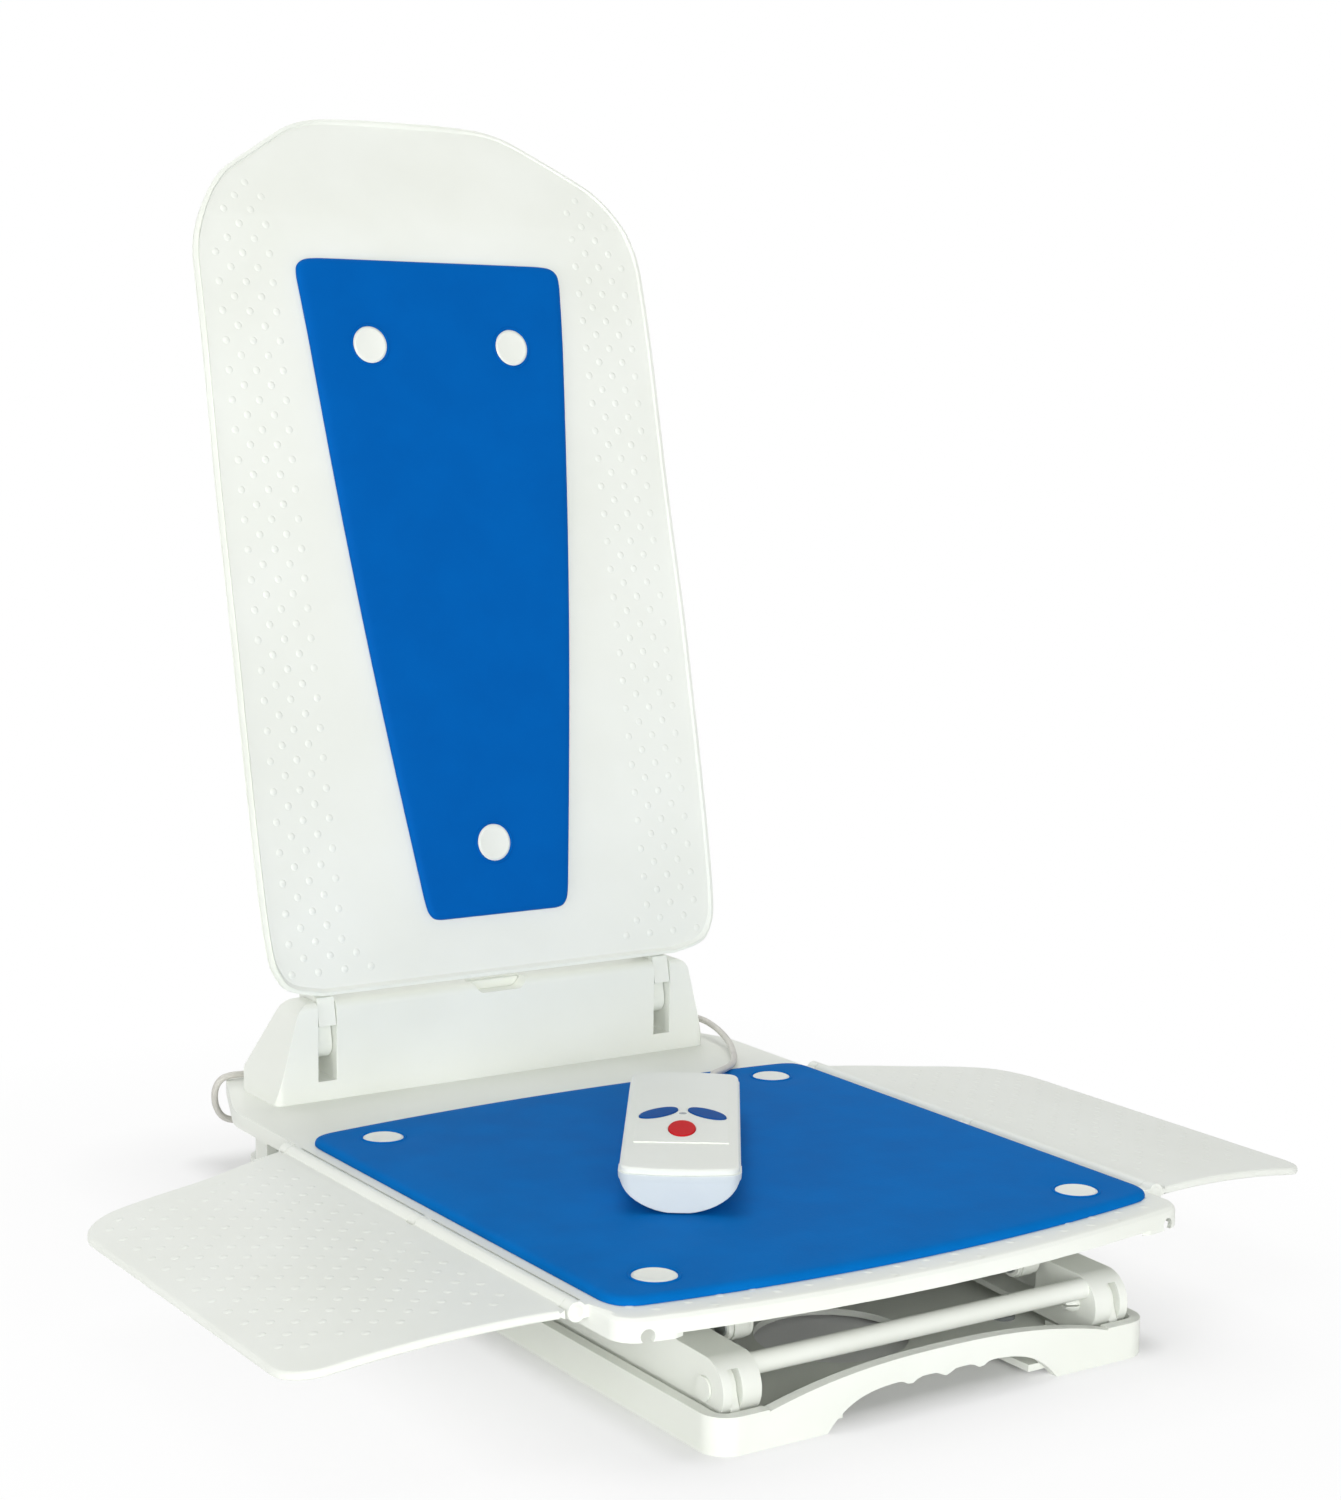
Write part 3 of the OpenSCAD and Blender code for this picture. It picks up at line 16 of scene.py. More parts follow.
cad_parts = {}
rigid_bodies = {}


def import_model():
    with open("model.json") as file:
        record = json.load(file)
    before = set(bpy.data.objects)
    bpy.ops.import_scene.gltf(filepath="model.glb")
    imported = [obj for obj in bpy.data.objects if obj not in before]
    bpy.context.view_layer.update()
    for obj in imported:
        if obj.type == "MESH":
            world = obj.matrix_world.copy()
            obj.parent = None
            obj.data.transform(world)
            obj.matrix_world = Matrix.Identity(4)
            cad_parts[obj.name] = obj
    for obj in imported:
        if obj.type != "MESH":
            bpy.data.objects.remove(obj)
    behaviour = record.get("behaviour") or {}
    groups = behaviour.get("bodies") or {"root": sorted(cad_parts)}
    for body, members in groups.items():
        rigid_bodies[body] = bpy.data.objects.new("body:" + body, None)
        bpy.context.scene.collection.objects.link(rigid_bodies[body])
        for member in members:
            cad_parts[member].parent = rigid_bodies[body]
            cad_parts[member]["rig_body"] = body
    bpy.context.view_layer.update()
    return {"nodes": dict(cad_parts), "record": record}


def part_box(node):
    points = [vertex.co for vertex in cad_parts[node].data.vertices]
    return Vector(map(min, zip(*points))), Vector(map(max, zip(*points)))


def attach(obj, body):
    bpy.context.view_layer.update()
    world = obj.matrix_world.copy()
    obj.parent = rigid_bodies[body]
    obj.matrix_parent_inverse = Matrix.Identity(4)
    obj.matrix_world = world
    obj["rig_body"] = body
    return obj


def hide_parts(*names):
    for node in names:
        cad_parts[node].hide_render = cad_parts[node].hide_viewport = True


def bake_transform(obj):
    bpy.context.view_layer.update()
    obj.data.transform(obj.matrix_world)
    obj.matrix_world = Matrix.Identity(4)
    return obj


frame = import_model()
scene = bpy.context.scene
slot_of = {part["node"]: part["material_slot"] for part in frame["record"]["subparts"]}
body_of = {name: node["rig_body"] for name, node in frame["nodes"].items()}

# %% [markdown]
# ## One way to write a place
# The lift was measured in millimetres from the front edge of its base, and Blender counts in metres
# from the frame's middle. Each place could be converted by hand, but then nobody could check it against
# a ruler. So a place is written as measured, with x across, u back from that edge and z up, and one
# helper converts it.

# %% Places
MM = 0.001
MIDDLE = -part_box("base_frame")[0].y / MM


def at(x, u, z):
    """A place in millimetres, with u measured back from the base's front edge, in the frame's metres."""
    return Vector((x, u - MIDDLE, z)) * MM


print("the base's front edge lies", round(MIDDLE, 3), "mm in front of the middle")

# %% [markdown]
# ## The camera
# The photograph's viewpoint was worked out from the base's corners, the seat's edges and the housing. A
# Track To constraint could aim the camera, but it would lose the slight roll. Three turns and a place
# say all of it: yaw round the upright, pitch down, and roll. The lens follows from the focal length in
# pixels on the picture's long side, because Blender measures its sensor along that side too.

# %% Camera
PICTURE_LONG, FOCAL_PIXELS, SENSOR = 1500, 2713.5, 36
YAW, PITCH, ROLL = (math.radians(angle) for angle in (33.66, 7.67, 0.83))
EYE = Vector((-0.91388, -1.41446, 0.54787))

eye = bpy.data.cameras.new("eye")
eye.sensor_width = SENSOR
eye.lens = FOCAL_PIXELS / PICTURE_LONG * SENSOR
camera = bpy.data.objects.new("camera", eye)
scene.collection.objects.link(camera)
ahead = Vector((math.sin(YAW) * math.cos(PITCH), math.cos(YAW) * math.cos(PITCH), -math.sin(PITCH)))
level = Vector((math.cos(YAW), -math.sin(YAW), 0))
lift = level.cross(ahead)
right = level * math.cos(ROLL) + lift * math.sin(ROLL)
up = lift * math.cos(ROLL) - level * math.sin(ROLL)
camera.matrix_world = Matrix.Translation(EYE) @ Matrix((right, up, -ahead)).transposed().to_4x4()
scene.camera = camera
print("lens", round(eye.lens, 2), "mm")

# %% [markdown]
# ## The cord
# A limp lead, 4.6 mm thick, joins the handset to the lift. From its gland under the seat's rear left
# corner it loops up, lies behind the housing, bows round the housing's right end and comes to the
# handset over the seat. A circle could be extruded step by step along that way. A smooth curve with a
# round bevel is simpler and stays even in its bends. It becomes a mesh at the end.

# %% Cord route
CORD_ROUTE = [
    (-144, 560, 50), (-150, 560, 50), (-157, 560.5, 49.2), (-165, 561.5, 49), (-171.8, 562.8, 52),
    (-175.8, 564, 58.8), (-176.5, 565, 66.5), (-175, 565, 73), (-171, 564.8, 77.5), (-164, 564.3, 79.2),
    (-155, 563.8, 79), (-144, 563.5, 78.8), (-130, 563.5, 78.8), (-100, 563.5, 78.8), (-60, 563.5, 78.8),
    (-20, 563.5, 78.8), (20, 563.5, 78.8), (60, 563.5, 78.8), (100, 563.5, 78.8), (130, 563.5, 78.8),
    (145, 563.5, 78.8), (155, 562, 79), (163.5, 557, 80), (171, 548.5, 82.3), (176.8, 537, 85.4),
    (181, 523, 87.6), (183.3, 508, 88), (182.6, 492, 86.5), (179.3, 476, 84.5), (173.7, 460, 82.9),
    (167, 446, 81.6), (159.5, 433, 80.9), (151.2, 421, 80.9), (143.8, 412, 81.4), (136.1, 404, 82.4),
    (127.6, 396, 83.7), (119.1, 388, 85.3), (109.6, 378.5, 87.6), (101, 369, 90.1), (92.4, 359, 92.9),
    (84, 349, 95.3), (79.5, 342.5, 95.8), (75.8, 337.2, 95.9)]
CORD_STEPS = 5


def through(points, steps):
    """Points on the smooth curve that passes through all the given ones."""
    line = []
    for i in range(len(points) - 1):
        a, b, c, d = (points[max(0, min(len(points) - 1, i + k))] for k in (-1, 0, 1, 2))
        for t in (k / steps for k in range(steps)):
            line.append((2 * b + (c - a) * t + (2 * a - 5 * b + 4 * c - d) * t**2
                         + (3 * b - a - 3 * c + d) * t**3) / 2)
    return line + [points[-1]]


cord_line = through([at(*p) for p in CORD_ROUTE], CORD_STEPS)

# %% Cord mesh
CORD_D, CORD_ROUNDNESS = 4.6, 3

lead = bpy.data.curves.new("lead", "CURVE")
lead.dimensions = "3D"
lead.twist_mode = "MINIMUM"
lead.bevel_depth = CORD_D / 2 * MM
lead.bevel_resolution = CORD_ROUNDNESS
lead.use_fill_caps = True
spline = lead.splines.new("POLY")
spline.points.add(len(cord_line) - 1)
for point, place in zip(spline.points, cord_line):
    point.co = (*place, 1)
lead_object = bpy.data.objects.new("lead", lead)
scene.collection.objects.link(lead_object)
bpy.context.view_layer.update()
evaluated = lead_object.evaluated_get(bpy.context.evaluated_depsgraph_get())
cord_mesh = bpy.data.meshes.new_from_object(evaluated)
bpy.data.objects.remove(lead_object)
cord_mesh.shade_smooth()
print("cord mesh", len(cord_mesh.polygons), "faces")

# %% [markdown]
# The cord's near end stays with the seat and its far end goes with the handset. A cord that rode on one
# of them would tear off the other, so this one is put on no body and stays where it is laid.

# %% Cord as a piece


def piece(name, mesh, body, slot, *stands_for):
    """A new object at the origin that rides on a body and may stand for nodes. The slot is not used."""
    obj = bpy.data.objects.new(name, mesh)
    scene.collection.objects.link(obj)
    if body:
        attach(obj, body)
    if stands_for:
        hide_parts(*stands_for)
    return obj


handset_cord = piece("handset_cord", cord_mesh, None, "grey_cord", "cord")
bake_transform(handset_cord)
print("cord leaves its gland at", [round(c, 3) for c in cord_line[0]])

# %% [markdown]
# ## How a finish is made
# Nothing on the lift is one flat colour: pigment, wear and tool texture vary a little everywhere. A
# picture of each surface could give that, but a few nodes give it without any picture. Colours are
# written as a screen shows them, and one function turns them to the linear values that the renderer
# adds up. A second one adds a node.

# %% Colours and nodes


def linear(code):
    """An sRGB colour, written #RRGGBB, as a linear RGBA colour."""
    parts = [int(code[i:i + 2], 16) / 255 for i in (1, 3, 5)]
    return tuple(c / 12.92 if c <= 0.04045 else ((c + 0.055) / 1.055) ** 2.4 for c in parts) + (1,)


def add(tree, kind, values=(), links=(), **settings):
    """One node with its settings, its inputs' values, and its inputs' links from other nodes' outputs."""
    node = tree.nodes.new(kind)
    for name, value in settings.items():
        setattr(node, name, value)
    for name, value in dict(values).items():
        node.inputs[name].default_value = value
    for name, output in dict(links).items():
        tree.links.new(output, node.inputs[name])
    return node


print("half grey is", round(linear("#808080")[0], 3), "in linear light")

# %% [markdown]
# Each finish is a Principled shader with three small things on top: a slow drift between two tones,
# roughness that follows the drift, and a fine bump. All of them read Object coordinates, which are
# metres, so a pattern that repeats every millimetre has a scale of a thousand. The real grains are
# about 0.1 to 0.3 mm, too fine to show from here, so they are drawn at about a millimetre.

# %% Finish
TONE_STOPS = (0.35, 0.65)
DRIFT_DETAIL = 3


def finish(name, tones, drift, rough, grain, depth, specular=0.5, metallic=0.0, cells=False):
    """A material: two tones, a roughness range, and its drift, grain and grain depth in millimetres."""
    material = bpy.data.materials.new(name)
    material.use_nodes = True
    tree = material.node_tree
    tree.nodes.clear()
    place = add(tree, "ShaderNodeTexCoord").outputs["Object"]
    slow = add(tree, "ShaderNodeTexNoise", {"Scale": 1 / (drift * MM), "Detail": DRIFT_DETAIL},
               {"Vector": place}).outputs["Fac"]
    colour = add(tree, "ShaderNodeValToRGB", (), {"Fac": slow})
    for stop, position, tone in zip(colour.color_ramp.elements, TONE_STOPS, tones):
        stop.position, stop.color = position, linear(tone)
    dull = add(tree, "ShaderNodeMapRange", {"To Min": rough[0], "To Max": rough[1]}, {"Value": slow})
    kind = "ShaderNodeTexVoronoi" if cells else "ShaderNodeTexNoise"
    fine = add(tree, kind, {"Scale": 1 / (grain * MM)}, {"Vector": place}).outputs[0]
    bump = add(tree, "ShaderNodeBump", {"Strength": 1.0, "Distance": depth * MM}, {"Height": fine})
    face = add(tree, "ShaderNodeBsdfPrincipled", {"Specular IOR Level": specular, "Metallic": metallic},
               {"Base Color": colour.outputs["Color"], "Roughness": dull.outputs["Result"],
                "Normal": bump.outputs["Normal"]})
    add(tree, "ShaderNodeOutputMaterial", (), {"Surface": face.outputs["BSDF"]})
    return material


FINISHES = {}
print("a finish drifts between tones at", TONE_STOPS)

# %% [markdown]
# ### White plastics
# The shells are ABS, moulded in a tool with a fine spark texture. The arms, pins, studs and latch are
# acetal, which is slicker, and the handset's end cap comes from a polished tool. One white could serve
# for all, but side by side on the real lift they differ a little, and that tells the eye that they are
# separate parts.

# %% White plastics
FINISHES.update({
    # Textured ABS: a warm white whose highlights are broad and soft
    "white_shell": finish("moulded_white_abs", ("#EAEDE5", "#EEF1EA"), drift=90, rough=(0.38, 0.46),
                          grain=1.1, depth=0.010, specular=0.35),
    # Acetal: nearly the same white with a slightly waxy, tighter shine
    "white_moulding": finish("moulded_white_acetal", ("#E8EBE3", "#ECEFE8"), drift=60, rough=(0.32, 0.40),
                             grain=1.4, depth=0.006, specular=0.4),
    # Polished ABS with a cooler pigment: a clear highlight along the cap's nose
    "cap_plastic": finish("cool_white_abs_cap", ("#D9DFDD", "#DEE4E1"), drift=40, rough=(0.28, 0.36),
                          grain=1.1, depth=0.006, specular=0.4),
})
print("white finishes:", len(FINISHES))

# %% [markdown]
# ### Blue foam and silicone keys
# The pads are closed-cell foam with a heat-sealed skin, which hardly shines. Its cells show as a faint
# pattern, so a Voronoi texture makes the bump there. The keys are silicone, dyed through. Both could be
# a plain matt colour, but the little shine that they have shows which way they curve.

# %% Blue foam and silicone keys
FINISHES.update({
    # Foam skin: a deep, even blue with almost no highlight
    "blue_pad": finish("blue_foam_skin", ("#005CAE", "#005FB2"), drift=40, rough=(0.54, 0.64),
                       grain=1.6, depth=0.05, specular=0.03, cells=True),
    # The same skin on the seat, painted a little paler: painted light for the extra light on its level top
    "blue_seat_painted_paler": finish("blue_foam_skin_painted_paler", ("#0268B6", "#046DBD"), drift=40, rough=(0.54, 0.64),
                        grain=1.6, depth=0.05, specular=0.02, cells=True),
    # Silicone: saturated and soft, with a weak sheen over its crown
    "blue_button": finish("blue_silicone_key", ("#004690", "#005099"), drift=20, rough=(0.5, 0.58),
                          grain=0.7, depth=0.01, specular=0.06),
    "red_button": finish("red_silicone_key", ("#C80E18", "#D0141E"), drift=20, rough=(0.5, 0.58),
                         grain=0.7, depth=0.01, specular=0.06),
})
print("finishes so far:", len(FINISHES))

# %% [markdown]
# ### Cord, rubber, metal and the handset's inside
# Most of these are under the seat or inside a shell and show only when the lift is up or taken apart.
# Plain greys would do for the photograph, but the drive should look right from below too, so the same
# function makes them.

# %% Cord, rubber, metal and the handset's inside
FINISHES.update({
    # PVC sheath: smooth, with a soft line of light along its length
    "grey_cord": finish("grey_pvc_sheath", ("#C8C6BF", "#D2D0C9"), drift=12, rough=(0.42, 0.52),
                        grain=0.9, depth=0.02, specular=0.4),
    # Moulded rubber: dull and a little dusty
    "grey_rubber": finish("grey_moulded_rubber", ("#84888A", "#949899"), drift=25, rough=(0.60, 0.72),
                          grain=0.9, depth=0.03, specular=0.3),
    # Glass-filled nylon: dark, with the faint mottle of its fibres
    "dark_plastic": finish("dark_glass_filled_nylon", ("#44464A", "#505358"), drift=30, rough=(0.50, 0.60),
                           grain=0.8, depth=0.02, specular=0.4),
    # Zinc plating: bright metal with a faint spangle
    "steel": finish("zinc_plated_steel", ("#A9ACAF", "#BFC2C5"), drift=14, rough=(0.28, 0.40),
                    grain=0.6, depth=0.006, metallic=1.0),
    # Drawn sheet steel: a greyer metal with a smoother, wider sheen
    "motor_can": finish("drawn_steel_can", ("#8A8D90", "#9A9DA0"), drift=22, rough=(0.34, 0.46),
                        grain=0.8, depth=0.008, metallic=1.0),
    # Solder mask: green lacquer with a clear shine
    "board": finish("green_solder_mask", ("#27613D", "#31714A"), drift=8, rough=(0.32, 0.42),
                    grain=1.2, depth=0.02, specular=0.5),
    # Smoked lens: a smooth grey that mirrors the light above it
    "lens": finish("smoked_lens", ("#8E959C", "#989FA6"), drift=6, rough=(0.16, 0.22),
                   grain=0.8, depth=0.004, specular=0.5),
})
print("finishes:", len(FINISHES))

# %% Finishes on the frame


def dressed(mesh, slot):
    """The mesh with a slot's finish as its only material."""
    mesh.materials.clear()
    mesh.materials.append(FINISHES[slot])
    return mesh


for name, node in frame["nodes"].items():
    dressed(node.data, slot_of[name])
dressed(handset_cord.data, "grey_cord")
print("dressed nodes:", len(frame["nodes"]))

# %% [markdown]
# ## Softened mouldings
# A moulded part has no knife edges: its tool leaves a small radius on each of them, and that radius
# catches the light. A Bevel modifier could round the CAD solids, but their faces are cut into thin
# triangles that it trips over. So a copy of each solid is welded, its flat triangles are joined to
# whole faces, and then the bevel operator rounds the edges that turn sharply. The copy stands for its
# CAD node.

# %% Welding and rounding
WELD = 2e-6
FLAT, SHARP, CREASE = math.radians(0.6), math.radians(28), math.radians(40)


def welded(node):
    """A CAD node's loose triangles as a mesh of whole faces."""
    bm = bmesh.new()
    bm.from_mesh(frame["nodes"][node].data)
    bmesh.ops.remove_doubles(bm, verts=bm.verts, dist=WELD)
    bmesh.ops.dissolve_limit(bm, angle_limit=FLAT, verts=bm.verts, edges=bm.edges)
    return bm


def sharp_edges(bm):
    """The edges that are real corners, and not the facets of a curve."""
    return [e for e in bm.edges if e.is_manifold and e.calc_face_angle() > SHARP]


def rounded(bm, edges, radius, clamp=True):
    """Rounds edges by a radius in millimetres. The clamp narrows the whole lot where one has no room."""
    bmesh.ops.bevel(bm, geom=edges, offset=radius * MM, offset_type="OFFSET", segments=3, profile=0.5,
                    affect="EDGES", clamp_overlap=clamp, material=-1)


trial = welded("seat_plate")
print("the seat plate has", len(sharp_edges(trial)), "sharp edges of", len(trial.edges))
trial.free()

# %% Softened copies


def meshed(bm, name, crease=None):
    """The finished bmesh as a smooth mesh, shaded hard only where it turns by more than the crease."""
    mesh = bpy.data.meshes.new(name)
    bm.to_mesh(mesh)
    bm.free()
    mesh.shade_smooth()
    if crease:
        mesh.set_sharp_from_angle(angle=crease)
    return mesh


def softened(node, radius, wide=0, where=None):
    """A copy of a CAD node with its sharp edges rounded, and wider where an edge's middle passes."""
    bm = welded(node)
    if wide:
        middle = {e: (e.verts[0].co + e.verts[1].co) / 2 / MM + Vector((0, MIDDLE, 0)) for e in bm.edges}
        rounded(bm, [e for e in sharp_edges(bm) if e.is_convex and where(*middle[e])], wide, clamp=False)
    rounded(bm, sharp_edges(bm), radius)
    bmesh.ops.remove_doubles(bm, verts=bm.verts, dist=WELD)
    mesh = dressed(meshed(bm, node + "_soft", CREASE), slot_of[node])
    obj = piece(node + "_soft", mesh, body_of[node], slot_of[node], node)
    obj.modifiers.new("weighted_normals", "WEIGHTED_NORMAL").keep_sharp = True
    print(obj.name, len(mesh.polygons), "faces")
    return obj


print("copies are shaded hard over", round(math.degrees(CREASE)), "degrees")

# %% Small radii
RADII = {
    "base_frame": 1.2, "outer_arm_left": 1.0, "outer_arm_right": 1.0, "pivot_block_left": 0.6,
    "pivot_block_right": 0.6, "backrest_arm_left": 0.8, "backrest_arm_right": 0.8, "seat_forks": 0.5,
    "handset_hull": 0.8, "handset_cap": 0.8, "hinge_housing": 1.4, "button_up": 0.5, "button_down": 0.5,
    "button_stop": 0.5, "release_latch": 0.6, "seat_studs": 0.4, "backrest_studs": 0.4}
for node, radius in RADII.items():
    softened(node, radius)

# %% [markdown]
# ### Wider radii where hands and skin touch
# The seat's front edge, the flaps' outer edges and the rim of the handset's cover are rolled much wider
# than the rest. One radius for a whole piece would eat its thin walls and the holes for the keys. So
# each of these pieces has a test that picks the edges for the wide radius, and the rest are rounded as
# before.

# %% Wide radii
LIP_Z, LIP_U, LIP_X = 74.5, 50, 197
KNUCKLES_END = 212
HANDSET_AT, HANDSET_TURN = (-0.0175, -0.087536, 0.0819), math.radians(-34.7)
HANDSET = Matrix.Translation(HANDSET_AT) @ Matrix.Rotation(HANDSET_TURN, 4, "Z")
COVER_Z, COVER_X, COVER_Y = 105, 31, 104


def near_lip(x, u, z):
    """True on the upper edge of the seat's front, between its corner lobes."""
    return z > LIP_Z and u < LIP_U and abs(x) < LIP_X


def past_knuckles(x, u, z):
    """True on a flap, outside its hinge knuckles."""
    return abs(x) > KNUCKLES_END


def near_rim(x, u, z):
    """True on the outer rim of the handset's cover, which keeps the keys' holes out."""
    p = HANDSET.inverted() @ at(x, u, z) / MM
    return z > COVER_Z and (abs(p.x) > COVER_X or abs(p.y) > COVER_Y)


WIDE_RADII = (("seat_plate", 0.8, 4.6, near_lip), ("flap_left", 0.6, 1.9, past_knuckles),
              ("flap_right", 0.6, 1.9, past_knuckles), ("handset_cover", 0.6, 2.6, near_rim))
for node, radius, wide, where in WIDE_RADII:
    softened(node, radius, wide, where)

# %% [markdown]
# ### The handset's skirt
# On the real handset the cover's skirt comes down over the end cap and stops at a fine step. A separate
# ring could be laid round the cap, but it would have to follow the cap's nose exactly. Two level cuts
# across the cap mark the step instead, and what lies above it is pushed out by half a millimetre.

# %% Handset skirt
SKIRT_Z, STEP_H, SKIRT_OUT, UPRIGHT = 100.2, 0.7, 0.45, 0.5

skirted = bpy.data.objects["handset_cap_soft"].data
bm = bmesh.new()
bm.from_mesh(skirted)
for height in (SKIRT_Z, SKIRT_Z - STEP_H):
    bmesh.ops.bisect_plane(bm, geom=bm.verts[:] + bm.edges[:] + bm.faces[:], dist=1e-6,
                           plane_co=(0, 0, height * MM), plane_no=(0, 0, 1))
bm.normal_update()
for v in bm.verts:
    out = Vector((v.normal.x, v.normal.y, 0))
    if v.co.z > (SKIRT_Z - STEP_H / 2) * MM and out.length > UPRIGHT:
        v.co += out.normalized() * SKIRT_OUT * MM
bm.to_mesh(skirted)
bm.free()
skirted.set_sharp_from_angle(angle=CREASE)
print("the handset's skirt stops at z", SKIRT_Z, "mm")

# %% [markdown]
# ## The backrest's panel
# The real backrest is one thin moulding: a face with a rolled rim, ribs behind it, and a head that
# turns back in a soft S. The CAD shell has its size and its ribs but a plain bend, and bending that
# mesh would pinch its ribs. So the face is a new grid, laid between measured half widths up the panel.
# A smooth curve joins those.

# %% Backrest outline
BACK_FOOT, BACK_LEAN = (0, 0.154914, 0.135), math.radians(-12.77)
BACK = Matrix.Translation(BACK_FOOT) @ Matrix.Rotation(BACK_LEAN, 4, "X")
BACK_KNOTS = [
    (13, 138), (18, 160), (28, 170), (48, 175), (110, 177), (230, 177.3), (360, 176.5), (480, 175.4),
    (512, 174.2), (530, 169.5), (544, 163), (556, 155.2), (568, 144.3), (580, 127), (592, 108.5),
    (602, 92.5), (608.5, 78), (612, 60), (613.4, 30)]
KNOT_STEPS = 6
BACK_OUTLINE = [(p.x, p.y) for p in through([Vector((s, half, 0)) for s, half in BACK_KNOTS], KNOT_STEPS)]


def table(rows, key):
    """The value in a table of (key, value) rows, straight between the rows."""
    for (a, va), (b, vb) in zip(rows, rows[1:]):
        if key <= b:
            return va + (vb - va) * max(0.0, (key - a) / (b - a))
    return rows[-1][1]


print("the panel is", round(2 * table(BACK_OUTLINE, 300), 1), "mm wide at half its height")

# %% [markdown]
# The face isn't flat. It leans back a little below the head, the head's middle rolls back in an S while
# its shoulders bend more evenly, and the lower sides come forward to hold a person's back. One function
# says how deep the face lies at each place, so that the ribs, the nubs and the pad can follow it too.

# %% Backrest depth
LEAN_FROM, LEAN_OVER, LEAN_DEPTH = 440, 110, 4
ROLL_FROM, ROLL_OVER = 528, 86
BEND_FROM, BEND_OVER, BEND_POWER = 535, 75, 1.3
HEAD_DEPTH, HEAD_HALF = 23, 75
WING_DEPTH, WING_HALF, WING_TO, WING_OVER = 3, 177, 230, 130


def eased(t):
    """A smooth step from 0 to 1."""
    t = max(0.0, min(1.0, t))
    return t * t * (3 - 2 * t)


def back_depth(x, s):
    """How far the backrest's face lies behind its flat plane, in millimetres, at x across and s up."""
    bend, roll = max(0, (s - BEND_FROM) / BEND_OVER) ** BEND_POWER, eased((s - ROLL_FROM) / ROLL_OVER)
    head = HEAD_DEPTH * (bend + (roll - bend) * math.exp(-(x / HEAD_HALF) ** 2))
    wing = WING_DEPTH * (abs(x) / WING_HALF) ** 4 * (1 - eased((s - WING_TO) / WING_OVER))
    return LEAN_DEPTH * eased((s - LEAN_FROM) / LEAN_OVER) + head - wing


def on_back(x, y, s):
    """A place in the backrest's own millimetres, y behind its face, in the frame."""
    return BACK @ (Vector((x, back_depth(x, s) + y, s)) * MM)


print("the head's top lies", round(back_depth(0, BACK_KNOTS[-1][0]), 1), "mm back")

# %% [markdown]
# The rim is extruded from the face's border and drawn in behind, as the tool's draft leaves it. Then
# the operator that gives a sheet its thickness turns face and rim into one shell.

# %% Backrest face and rim
BACK_WALL, BACK_RIM, BACK_DRAFT, BORDER_R = 3.2, 11.0, 0.96, 1.8
BACK_CENTRE = 0.31
HALF_COLUMNS = 24


def laid(bm, rows, columns, place):
    """A grid of vertices, each put where place(row, column) says."""
    made = bmesh.ops.create_grid(bm, x_segments=len(columns) - 1, y_segments=len(rows) - 1, size=1)
    for v in made["verts"]:
        i = round((v.co.x + 1) / 2 * (len(columns) - 1))
        j = round((v.co.y + 1) / 2 * (len(rows) - 1))
        v.co = place(rows[j], columns[i])
    bm.normal_update()


up_rows = sorted({s for s, _ in BACK_OUTLINE})
across = [i / HALF_COLUMNS for i in range(-HALF_COLUMNS, HALF_COLUMNS + 1)]
shell = bmesh.new()
laid(shell, up_rows, across, lambda s, a: on_back(a * table(BACK_OUTLINE, s), 0, s))
if sum(f.normal.y for f in shell.faces) > 0:
    bmesh.ops.reverse_faces(shell, faces=shell.faces)
border = [e for e in shell.edges if e.is_boundary]
drawn = bmesh.ops.extrude_edge_only(shell, edges=border)["geom"]
wall = [v for v in drawn if isinstance(v, bmesh.types.BMVert)]
bmesh.ops.translate(shell, verts=wall, vec=BACK.to_3x3() @ Vector((0, BACK_RIM, 0)) * MM)
bmesh.ops.scale(shell, verts=wall, vec=(BACK_DRAFT, 1, BACK_DRAFT),
                space=(BACK @ Matrix.Translation((0, 0, BACK_CENTRE))).inverted())
rounded(shell, border, BORDER_R)
shell.normal_update()
print("front faces look forward:", sum(f.normal.y for f in shell.faces) < 0)
bmesh.ops.solidify(shell, geom=shell.faces[:], thickness=BACK_WALL * MM)
print("face and rim", len(shell.faces), "faces")

# %% [markdown]
# ### The backrest's ribs
# Behind the face the moulding carries upright ribs, cross ribs and two bosses that the arms are screwed
# to. Boxes would stand off the curved face, so a rib is a strip that follows the face's depth and is
# then given its thickness. The ribs stop a little short of the rim, as on such a moulding.

# %% Backrest ribs
RIB, RIB_DEPTHS = 3.0, (2.0, 10.0)
ARM_X, INNER_X = 131.8, 59.9
RIB_LOW, RIB_HEAD_GAP, RIB_SIDE_GAP, RIB_HALF_STEPS = 20, 14, 9, 8
CROSS_RIBS = (85, 217, 349, 457)


def ribbed(bm, rows, place):
    """Adds a rib along a line of places, as a strip between the two depths with its thickness."""
    strip = bmesh.new()
    laid(strip, rows, RIB_DEPTHS, place)
    bmesh.ops.solidify(strip, geom=strip.faces[:], thickness=RIB * MM)
    bm.from_mesh(meshed(strip, "strip"))


for x in (-ARM_X, -INNER_X, INNER_X, ARM_X):
    top = max(s for s, half in BACK_OUTLINE if half > abs(x) + RIB_HEAD_GAP)
    ribbed(shell, [s for s in up_rows if RIB_LOW < s <= top], lambda s, y: on_back(x, y, s))
for s in CROSS_RIBS:
    reach = table(BACK_OUTLINE, s) - RIB_SIDE_GAP
    ribbed(shell, [i * reach / RIB_HALF_STEPS for i in range(-RIB_HALF_STEPS, RIB_HALF_STEPS + 1)],
           lambda x, y: on_back(x, y, s))
print("with ribs", len(shell.faces), "faces")

